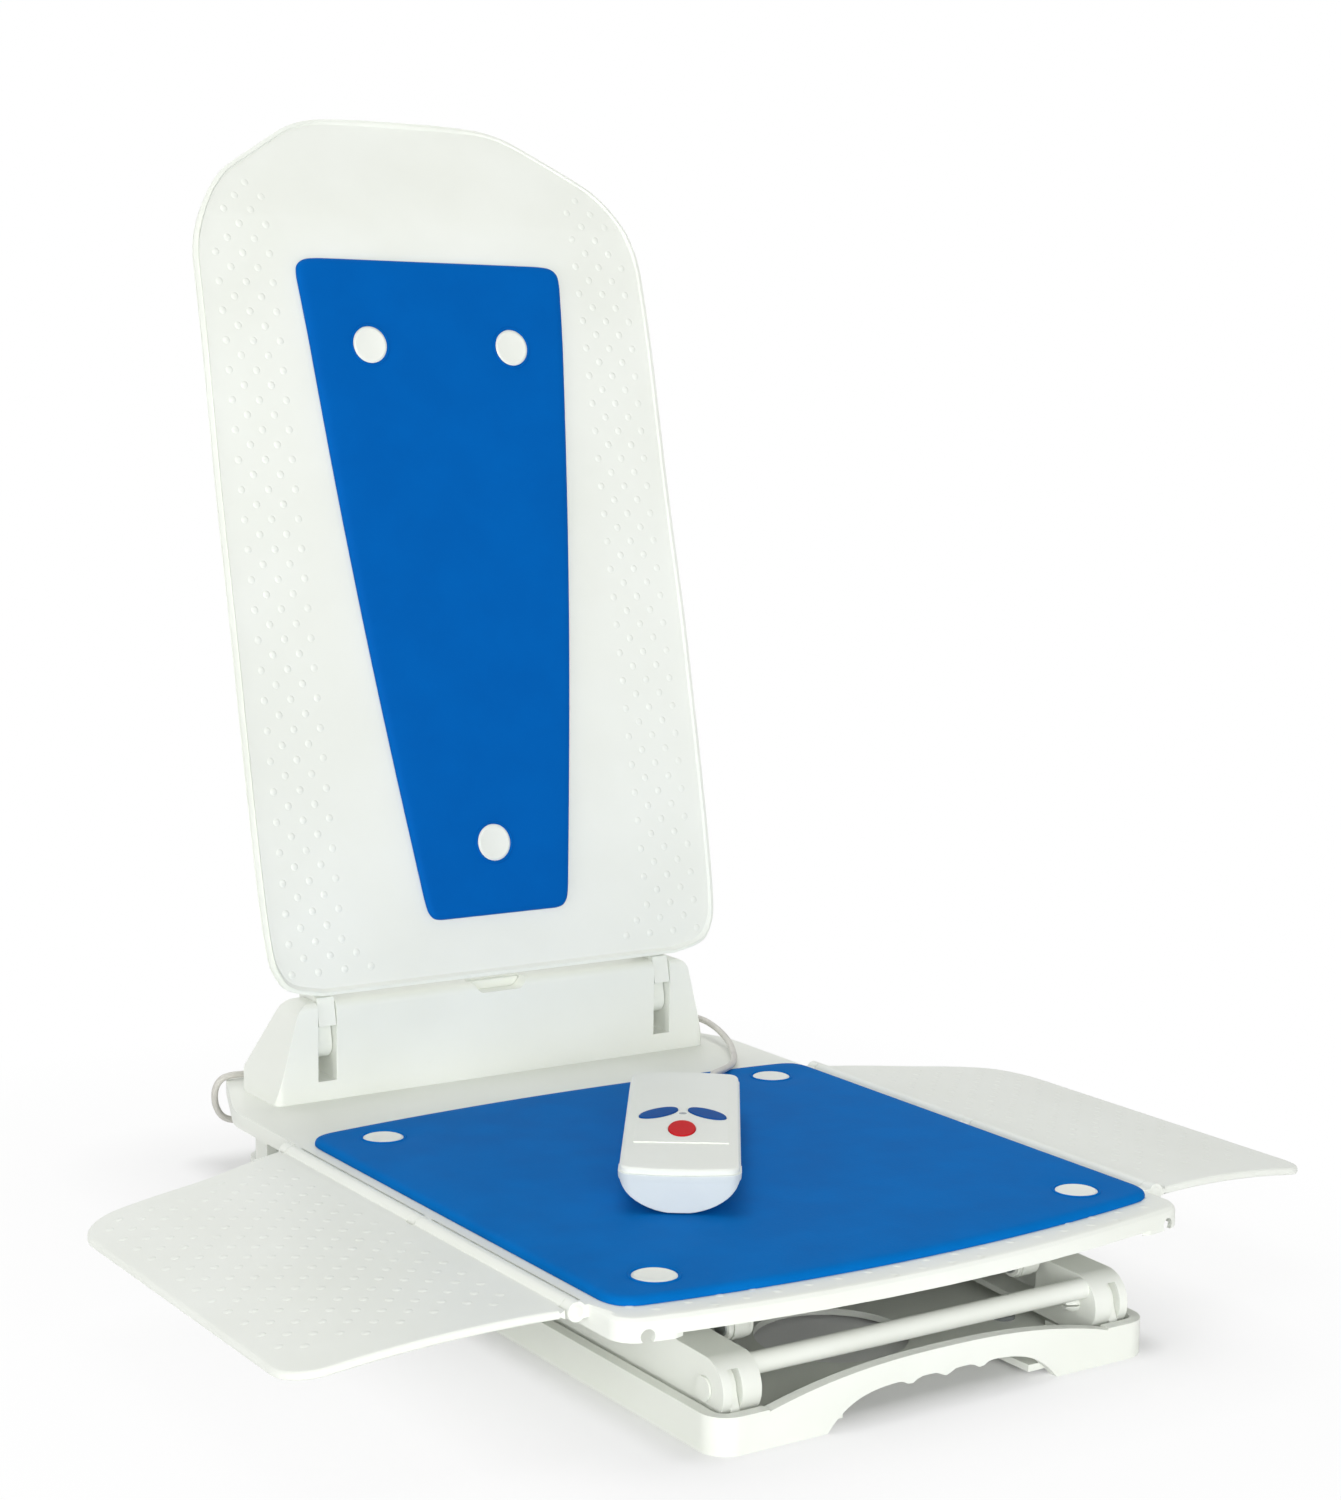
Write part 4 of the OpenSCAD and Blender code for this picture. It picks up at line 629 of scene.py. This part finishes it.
# %% Backrest bosses
BOSS_SIZE, BOSS_BACK, BOSS_UP = (12.4, 10, 134), 7.2, 83
PANEL_CREASE = math.radians(35)

for x in (-ARM_X, ARM_X):
    boss = bmesh.ops.create_cube(shell, size=1)["verts"]
    bmesh.ops.scale(shell, verts=boss, vec=Vector(BOSS_SIZE) * MM)
    spot = BACK @ Matrix.Translation(Vector((x, BOSS_BACK, BOSS_UP)) * MM)
    bmesh.ops.transform(shell, verts=boss, matrix=spot)
bmesh.ops.recalc_face_normals(shell, faces=shell.faces)
panel_mesh = dressed(meshed(shell, "backrest_panel", PANEL_CREASE), "white_shell")
panel = piece("backrest_panel", panel_mesh, "backrest", "white_shell", "backrest_shell")
print("backrest panel", len(panel_mesh.polygons), "faces")

# %% [markdown]
# ## The nubs
# Low round nubs are moulded in the seat, the flaps and the backrest's sides, so that wet skin doesn't
# slide. A bump texture could draw them, but it would leave the seat's edge smooth against the light.
# Real ones are cheap if each has few faces: a small disc, inset and raised three times, and copied.

# %% One nub
NUB_R, NUB_SIDES = 2.7, 10
NUB_STEPS = ((0.6, 0.26), (0.8, 0.2), (0.7, 0.06))

bm = bmesh.new()
bmesh.ops.create_circle(bm, cap_ends=True, segments=NUB_SIDES, radius=NUB_R * MM)
bm.normal_update()
if bm.faces[:][0].normal.z < 0:
    bmesh.ops.reverse_faces(bm, faces=bm.faces[:])
for inward, rise in NUB_STEPS:
    lid = [f for f in bm.faces if len(f.verts) == NUB_SIDES]
    bmesh.ops.inset_region(bm, faces=lid, thickness=inward * MM, depth=rise * MM, use_boundary=True)
nub = meshed(bm, "nub")


def nubbed(name, body, places):
    """One piece with a nub at each place, where a place is a matrix that turns the nub's top outward."""
    bm = bmesh.new()
    for matrix in places:
        start = len(bm.verts)
        bm.from_mesh(nub)
        bm.verts.ensure_lookup_table()
        bmesh.ops.transform(bm, matrix=matrix, verts=bm.verts[start:])
    print(name, len(places), "nubs")
    return piece(name, dressed(meshed(bm, name), "white_shell"), body, "white_shell")


nub_high = sum(rise for _, rise in NUB_STEPS)
print("a nub has", len(nub.polygons), "faces and is", round(nub_high, 2), "mm high")

# %% [markdown]
# ### Nubs on the seat
# The seat's nubs stand on a 20 mm grid with a second one set half a step over. All of them could be
# made, but the pad would hide most, so only those in front of its bowed edge are. They are a little
# lower than the backrest's.

# %% Seat nubs
STEP = 10.0
SEAT_HALF, SEAT_TOP, SEAT_FRONT, SEAT_BOW = 196.0, 76.0, 3, 20
PAD_HALF, PAD_SIDE, PAD_LONG, PAD_BOW, PAD_REAR_BOW = 188.7, 40.0, 359.0, 17.0, 13.0
NUB_REACH, NUB_EDGE, PAD_LAP = 184, 6, 2
LOW = Matrix.Diagonal((1, 1, 0.62, 1))


def pad_ends(x):
    """The seat pad's front and rear edges, u in millimetres, at x across."""
    bow = 1 - (x / PAD_HALF) ** 2
    return PAD_SIDE - PAD_BOW * bow, PAD_SIDE + PAD_LONG + PAD_REAR_BOW * bow


seat_places = []
for row in range(1, 5):
    for column in range(-10, 11):
        x, u = 2 * STEP * column + STEP * (row % 2), STEP * row
        front = SEAT_FRONT + SEAT_BOW * (x / SEAT_HALF) ** 2
        if abs(x) < NUB_REACH and front + NUB_EDGE < u < pad_ends(x)[0] + PAD_LAP:
            seat_places.append(Matrix.Translation(at(x, u, SEAT_TOP)) @ LOW)
nubbed("seat_nubs", "seat", seat_places)

# %% [markdown]
# ### Nubs on the flaps
# A flap's skin droops toward its outer edge. Copies on a level grid would float there, so each nub is
# lowered and tilted with the skin. The rows start from the outer edge and stop short of the hinge, the
# front and the slanting rear edge.

# %% Flap nubs
FLAP_X, FLAP_Z, FLAP_W, FLAP_DROP = 203.0, 75.0, 154.0, 15.0
FLAP_FRONT, FLAP_SWEEP, FLAP_REAR = 54, 20, [(0, 398), (66, 371), (154, 362)]
BARE_TIP, BARE_HINGE, BARE_FRONT, BARE_REAR = 13.5, 14, 24, 14
FLAP_COLUMN, FLAP_START, FLAP_SHIFT, FLAP_ROW = 9.8, 114, 10.3, 20.3

for side, name in ((-1, "left"), (1, "right")):
    places = []
    for k in range(13):
        x = FLAP_W - BARE_TIP - FLAP_COLUMN * k
        first = FLAP_FRONT + FLAP_SWEEP * x / FLAP_W + BARE_FRONT
        last = table(FLAP_REAR, x) - BARE_REAR
        tilt = Matrix.Rotation(side * math.atan(2 * FLAP_DROP * x / FLAP_W**2), 4, "Y")
        for j in range(-2, 15):
            u = FLAP_START - FLAP_SHIFT * (k % 2) + FLAP_ROW * j
            if first < u < last and x > BARE_HINGE:
                spot = at(side * (FLAP_X + x), u, FLAP_Z - FLAP_DROP * (x / FLAP_W) ** 2)
                places.append(Matrix.Translation(spot) @ tilt @ LOW)
    nubbed(f"flap_{name}_nubs", f"side_flap_{name}", places)

# %% [markdown]
# ### Nubs on the backrest
# Five columns run up each side of the panel and two short ones fill its lower corners. The panel curves
# both ways. The nearest face's normal could turn each nub, but it jumps from face to face. So a nub's
# direction comes from two short steps on the measured surface, whose cross product points straight out
# of it.

# %% Backrest nubs
BACK_NUB_X, BACK_NUB_COLUMN, BACK_NUB_LOW = 159, 9.75, 29
LONG_COLUMNS, SHORT_TOP = 5, 46
SIDE_GAP, HEAD_LOOK, HEAD_GAP = 11, 12, 4


def outward(x, s):
    """The turn that points a nub straight out of the backrest's face."""
    sideways = on_back(x + 1, 0, s) - on_back(x - 1, 0, s)
    upward = on_back(x, 0, s + 1) - on_back(x, 0, s - 1)
    return sideways.cross(upward).to_track_quat("Z", "Y").to_matrix().to_4x4()


places = []
for side in (-1, 1):
    for k in range(7):
        for j in range(27):
            x, s = BACK_NUB_X - BACK_NUB_COLUMN * k, BACK_NUB_LOW + 2 * STEP * j + STEP * (k % 2)
            reach = min(table(BACK_OUTLINE, s) - SIDE_GAP, table(BACK_OUTLINE, s + HEAD_LOOK) - HEAD_GAP)
            if x < reach and (k < LONG_COLUMNS or s < SHORT_TOP):
                places.append(Matrix.Translation(on_back(side * x, 0, s)) @ outward(side * x, s))
nubbed("backrest_nubs", "backrest", places)

# %% [markdown]
# ### The ends of the hinge pins
# At the seat's front corners the flaps' hinge pins end in small round heads. A head has a nub's shape,
# a third larger and facing forward, so the same mesh serves.

# %% Pin ends
PIN_U, PIN_Z, HEAD_SCALE = 53.9, 73, 1.35

facing = Matrix.Rotation(math.pi / 2, 4, "X") @ Matrix.Scale(HEAD_SCALE, 4)
heads = [Matrix.Translation(at(x, PIN_U, PIN_Z)) @ facing for x in (-FLAP_X, FLAP_X)]
nubbed("flap_pin_caps", "seat", heads)

# %% [markdown]
# ## The pads
# Each pad is a slab of closed-cell foam with a skin, cut with round corners and rolled edges, and held
# by dished studs that pull it in a little. A bevelled box would stay dead flat. So a grid is laid on
# the pad's plan, with finer rows along its edge where the skin rolls over, and its corners are drawn in
# to arcs.

# %% Pad plan
PAD_STEP = 6
EDGE_ROWS = (0, 0.45, 1.3, 2.6, 4.2, 7.0)


def rulings(length):
    """Places along a length, in millimetres: fine rows at both ends and even ones between."""
    inner = length - 2 * EDGE_ROWS[-1]
    count = round(inner / PAD_STEP)
    evens = [EDGE_ROWS[-1] + inner * i / count for i in range(1, count)]
    return [*EDGE_ROWS, *evens, *(length - e for e in reversed(EDGE_ROWS))]


def drawn_in(place, sizes, corner):
    """A place on a rectangle, pulled toward the middle in its corners, so that each corner is an arc."""
    reach = [max(0, corner - min(p, size - p)) for p, size in zip(place, sizes)]
    if min(reach) == 0:
        return place
    shrink = max(reach) / math.hypot(*reach)
    return [size / 2 + math.copysign(size / 2 - corner + r * shrink, p - size / 2)
            for p, size, r in zip(place, sizes, reach)]


print("rows along the seat pad:", len(rulings(PAD_LONG)))

# %% [markdown]
# The skin's height over the panel depends on two distances. Near the edge it rolls down in a quarter
# circle to a part of its thickness. Near a stud it is pulled down, and below the stud it sinks, so that
# foam never shows in the stud's dish.

# %% Pad height
PAD_T, PAD_SHARE, PAD_ROLL = 4.8, 0.35, 5.0
STUD_R, STUD_PULL, STUD_SINK, STUD_REACH = 13.0, 0.5, 1.4, 26.0


def pad_height(edge, near):
    """The skin's height, from the distances to the pad's edge and to the middle of its nearest stud."""
    roll = math.sqrt(max(0, 1 - (1 - min(1, edge / PAD_ROLL)) ** 2))
    pull = STUD_PULL * (1 - eased((near - STUD_R) / (STUD_REACH - STUD_R)))
    pull += STUD_SINK * (1 - eased(near / STUD_R))
    return PAD_T * (PAD_SHARE + (1 - PAD_SHARE) * roll) - pull


print("the pad is", round(pad_height(0, STUD_REACH), 2), "mm high at its edge")
print("and", round(pad_height(PAD_ROLL, STUD_R), 2), "mm beside a stud")

# %% [markdown]
# Foam under a skin swells a little between its studs. Smoothing could fake that, but it would also
# soften the rolled edge. A short cloth simulation with a slight inner pressure and no gravity swells
# only the free skin, because the base, the edge and the studs are held. A cap keeps the swelling to
# what foam allows.

# %% Swelling
SWELL, PRESSURE, FRAMES = 0.9, 4, 20


def swell(obj, held):
    """Lets a pad's skin swell in a short cloth simulation, with some of its vertices held still."""
    group = obj.vertex_groups.new(name="held")
    group.add(held, 1.0, "REPLACE")
    cloth = obj.modifiers.new("cloth", "CLOTH")
    cloth.settings.vertex_group_mass = group.name
    cloth.settings.use_pressure = True
    cloth.settings.uniform_pressure_force = PRESSURE
    cloth.settings.effector_weights.gravity = 0
    cloth.point_cache.frame_start, cloth.point_cache.frame_end = 1, FRAMES
    for step in range(1, FRAMES + 1):
        scene.frame_set(step)
    puffed = obj.evaluated_get(bpy.context.evaluated_depsgraph_get()).data
    moves = [p.co - v.co for p, v in zip(puffed.vertices, obj.data.vertices)]
    limit = SWELL * MM
    for v, move in zip(obj.data.vertices, moves):
        v.co += move * (limit / (limit + move.length))
    obj.modifiers.remove(cloth)
    obj.vertex_groups.clear()
    scene.frame_set(1)
    most = max(m.length for m in moves)
    print(obj.name, "swelled by at most", round(most / MM, 2), "mm before the cap of", SWELL)


print("swelling takes", FRAMES, "frames")

# %% [markdown]
# A pad is then two grids, one for the skin and one for the base, with their borders bridged. Its plan
# says where a place across and along the pad lies on the panel, and its lay puts a height on that
# panel, so one function makes both pads. A live subdivision smooths what the grid leaves.

# %% Pad form
STUD_HOLD = 3


def pad_form(name, sizes, corner, studs, plan, lay):
    """A pad's mesh and the vertices to hold. The sizes are across and along, and corner is a radius."""
    columns, rows = (rulings(size) for size in sizes)

    def flat(v, c):
        return plan(*drawn_in((c, v), sizes, corner))

    def gaps(v, c):
        edge = min(min(p, size - p) for p, size in zip((c, v), sizes))
        return edge, min(math.dist(flat(v, c), stud) for stud in studs)

    bm = bmesh.new()
    laid(bm, rows, columns, lambda v, c: lay(*flat(v, c), pad_height(*gaps(v, c))))
    laid(bm, rows, columns, lambda v, c: lay(*flat(v, c), 0))
    bmesh.ops.bridge_loops(bm, edges=[e for e in bm.edges if e.is_boundary])
    bmesh.ops.recalc_face_normals(bm, faces=bm.faces)
    spots = [gaps(v, c) for v in rows for c in columns]
    held = [i for i, (edge, near) in enumerate(spots) if edge < PAD_ROLL or near < STUD_R + STUD_HOLD]
    held.extend(range(len(spots), len(bm.verts)))
    return meshed(bm, name), held


print("held within", STUD_R + STUD_HOLD, "mm of a stud's middle")


def stuffed(name, node, body, skin, *form):
    """A pad in its form, swelled, on its body, in the place of its CAD node."""
    mesh, held = pad_form(name, *form)
    obj = bpy.data.objects.new(name, dressed(mesh, skin))
    scene.collection.objects.link(obj)
    swell(obj, held)
    finer = obj.modifiers.new("finer", "SUBSURF")
    finer.levels = finer.render_levels = 1
    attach(obj, body)
    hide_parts(node)
    print(name, len(mesh.polygons), "faces, held", len(held), "of", len(mesh.vertices))


# %% [markdown]
# ### The rims round the studs
# Where a stud goes through a pad, the punched skin curls up round its head in a thin ring. A torus
# would do on a flat pad. Here a small circle is stood up beside each stud and spun round the line that
# leaves the panel there, so that the ring lies true on the curved backrest too.

# %% Stud rims
RIM_R, RIM_THICK, RIM_SIDES, RIM_STEPS = 13.9, 0.85, 8, 36


def rimmed(name, body, skin, studs, lay):
    """One piece with a rolled rim round each of a pad's studs."""
    bm = bmesh.new()
    for stud in studs:
        middle = lay(*stud, PAD_T - STUD_PULL)
        up = (lay(*stud, PAD_T) - middle).normalized()
        side = up.orthogonal().normalized()
        stood = Matrix((side, up, side.cross(up))).transposed().to_4x4()
        spot = Matrix.Translation(middle + side * RIM_R * MM) @ stood
        ring = bmesh.ops.create_circle(bm, segments=RIM_SIDES, radius=RIM_THICK * MM, matrix=spot)["verts"]
        edges = list({e for v in ring for e in v.link_edges})
        bmesh.ops.spin(bm, geom=ring + edges, cent=middle, axis=up, angle=2 * math.pi, steps=RIM_STEPS,
                       use_merge=True)
    bmesh.ops.recalc_face_normals(bm, faces=bm.faces)
    mesh = dressed(meshed(bm, name), skin)
    print(name, len(mesh.polygons), "faces")
    return piece(name, mesh, body, "blue_pad")


print("a rim has", RIM_SIDES * RIM_STEPS, "faces")

# %% [markdown]
# ### The seat pad
# The seat pad is nearly square. Its front edge bows forward and its rear edge back, and four studs hold
# it near its corners. Its outline could be drawn as a ring of points, but bowing a rectangle keeps the
# grid even. It lies on the seat's flat top, so its lay is only a height.

# %% Seat pad
SEAT_CORNER = 15
SEAT_STUDS = [(x, u) for x in (-148.7, 148.7) for u in (64.2, 372.8)]


def seat_plan(c, v):
    """The seat pad's outline: its front edge bows forward and its rear edge back."""
    x = c - PAD_HALF
    front, rear = pad_ends(x)
    return x, front + (rear - front) * v / PAD_LONG


def on_seat(x, u, height):
    """A place at a height over the seat's top."""
    return at(x, u, SEAT_TOP + height)


# The seat pad and its rims take the paler blue, which is painted light for the light on the level seat
stuffed("seat_cushion", "seat_pad", "seat", "blue_seat_painted_paler",
        (2 * PAD_HALF, PAD_LONG), SEAT_CORNER, SEAT_STUDS, seat_plan, on_seat)
rimmed("seat_stud_rims", "seat", "blue_seat_painted_paler", SEAT_STUDS, on_seat)

# %% [markdown]
# ### The backrest pad
# The backrest pad is a long wedge, wider at the top, with slightly bowed sides and three studs. A flat
# pad could be bent to the panel afterwards, but its thickness would change. So it is laid on the same
# curved surface as the nubs.

# %% Backrest pad
BACK_PAD_LOW, BACK_PAD_LONG, BACK_PAD_ACROSS = 54.0, 453.0, 160
WEDGE_LOW, WEDGE_MORE, WEDGE_BOW = 108, 100, 4
BACK_CORNER = 11
BACK_STUDS = [(-55.3, 446.75), (55.3, 446.75), (0, 102.9)]


def back_plan(c, v):
    """The backrest pad's outline: a wedge that is wider at its top, with sides bowed out a little."""
    t = v / BACK_PAD_LONG
    half = (WEDGE_LOW + WEDGE_MORE * t) / 2 + WEDGE_BOW * math.sin(math.pi * t)
    return (2 * c / BACK_PAD_ACROSS - 1) * half, BACK_PAD_LOW + v


def before_back(x, s, height):
    """A place at a height in front of the backrest's face."""
    return on_back(x, -height, s)


stuffed("backrest_cushion", "backrest_pad", "backrest", "blue_pad",
        (BACK_PAD_ACROSS, BACK_PAD_LONG), BACK_CORNER, BACK_STUDS, back_plan, before_back)
rimmed("backrest_stud_rims", "backrest", "blue_pad", BACK_STUDS, before_back)

# %% [markdown]
# ## The floor
# The photograph is a cut-out on white with a soft shadow. A shadow catcher would need compositing, and
# lamps strong enough to whiten a floor would burn out the lift. So the floor is matt paper, and to the
# rays that are seen a share of its light comes from itself: none under the base, where the shadow is,
# and all of it a forearm's length away.

# %% Floor
FLOOR_HALF = 12

bm = bmesh.new()
bmesh.ops.create_grid(bm, x_segments=1, y_segments=1, size=FLOOR_HALF)
floor_mesh = meshed(bm, "floor")
floor = bpy.data.objects.new("floor", floor_mesh)
scene.collection.objects.link(floor)
print("the floor reaches", FLOOR_HALF, "m each way")

# %% Distance from the base
BASE_HALVES = (0.145, 0.30, 0)

# Matt white paper: it takes the lift's shadow softly and has no shine
paper = bpy.data.materials.new("white_floor")
paper.use_nodes = True
tree = paper.node_tree
tree.nodes.clear()
place = add(tree, "ShaderNodeTexCoord").outputs["Object"]
aside = add(tree, "ShaderNodeVectorMath", (), {0: place}, operation="ABSOLUTE").outputs[0]
beyond = add(tree, "ShaderNodeVectorMath", {1: BASE_HALVES}, {0: aside}, operation="SUBTRACT").outputs[0]
outside = add(tree, "ShaderNodeVectorMath", {1: (0, 0, 0)}, {0: beyond}, operation="MAXIMUM").outputs[0]
away = add(tree, "ShaderNodeVectorMath", (), {0: outside}, operation="LENGTH").outputs["Value"]
print("distance takes", len(tree.nodes), "nodes")

# %% Floor paper
SHARE_STOPS, ALL_AT = ((0.03, 0.66), (0.12, 0.91)), 0.36


def seen_rays(tree):
    """One for rays from the camera, a mirror or a clear piece, and nought for rays that only light."""
    path = add(tree, "ShaderNodeLightPath").outputs
    seen = add(tree, "ShaderNodeMath", (), {0: path["Is Camera Ray"], 1: path["Is Glossy Ray"]},
               operation="MAXIMUM").outputs[0]
    return add(tree, "ShaderNodeMath", (), {0: seen, 1: path["Is Transmission Ray"]},
               operation="MAXIMUM").outputs[0]


ramp = add(tree, "ShaderNodeValToRGB", (), {"Fac": away})
ramp.color_ramp.elements[1].position = ALL_AT
for position, tone in SHARE_STOPS:
    ramp.color_ramp.elements.new(position).color = (tone, tone, tone, 1)
share = add(tree, "ShaderNodeMath", (), {0: ramp.outputs["Color"], 1: seen_rays(tree)},
            operation="MULTIPLY").outputs[0]
matt = add(tree, "ShaderNodeBsdfDiffuse", {"Color": linear("#F8F8F8")})
glow = add(tree, "ShaderNodeEmission", {"Color": (1, 1, 1, 1), "Strength": 1.0})
shown = add(tree, "ShaderNodeMixShader", (), {"Fac": share, 1: matt.outputs[0], 2: glow.outputs[0]})
add(tree, "ShaderNodeOutputMaterial", (), {"Surface": shown.outputs[0]})
floor_mesh.materials.append(paper)
print("floor paper has", len(tree.nodes), "nodes")

# %% [markdown]
# ## World and lamps
# A product picture is lit by a few big soft boxes in a pale room. The room is the world: white to the
# rays that are seen, and dim to those that only light, so that shadows stay. One lamp could not light
# both the upright backrest and the low base, so the key beside the camera has helpers: one at the left
# for the sides, a low one for the front, one from above for the seat, and weak ones at the right and
# behind.

# %% World
ROOM_LIGHT, ROOM_SEEN = 0.32, 1.0

world = bpy.data.worlds.new("studio")
scene.world = world
world.use_nodes = True
tree = world.node_tree
tree.nodes.clear()
power = add(tree, "ShaderNodeMapRange", {"To Min": ROOM_LIGHT, "To Max": ROOM_SEEN},
            {"Value": seen_rays(tree)})
sky = add(tree, "ShaderNodeBackground", {"Color": (1, 1, 1, 1)}, {"Strength": power.outputs["Result"]})
add(tree, "ShaderNodeOutputWorld", (), {"Surface": sky.outputs[0]})
print("the room lights with", ROOM_LIGHT)

# %% Lamps
AIM_AT = Vector((0, 0, 0.25))
LAMPS = (("key", (-2.2, -4.2, 0.9), 2.6, 108), ("side", (-3.8, -0.9, 0.25), 1.8, 56),
         ("fill", (3.4, -3.2, 0.5), 2.5, 8), ("top", (0.2, 1.4, 3.9), 3.0, 68),
         ("low", (-0.4, -2.9, 0.8), 1.2, 18), ("rear", (1.2, 4.4, 1.2), 2.5, 10))

for name, place, size, watts in LAMPS:
    lamp = bpy.data.lights.new(name, "AREA")
    lamp.size, lamp.energy = size, watts
    stand = bpy.data.objects.new(name, lamp)
    scene.collection.objects.link(stand)
    turn = (AIM_AT - Vector(place)).to_track_quat("-Z", "Y").to_matrix().to_4x4()
    stand.matrix_world = Matrix.Translation(place) @ turn
scene.view_settings.view_transform = "Standard"
print("lamps:", len(LAMPS), "with", sum(watts for *_, watts in LAMPS), "W in all")
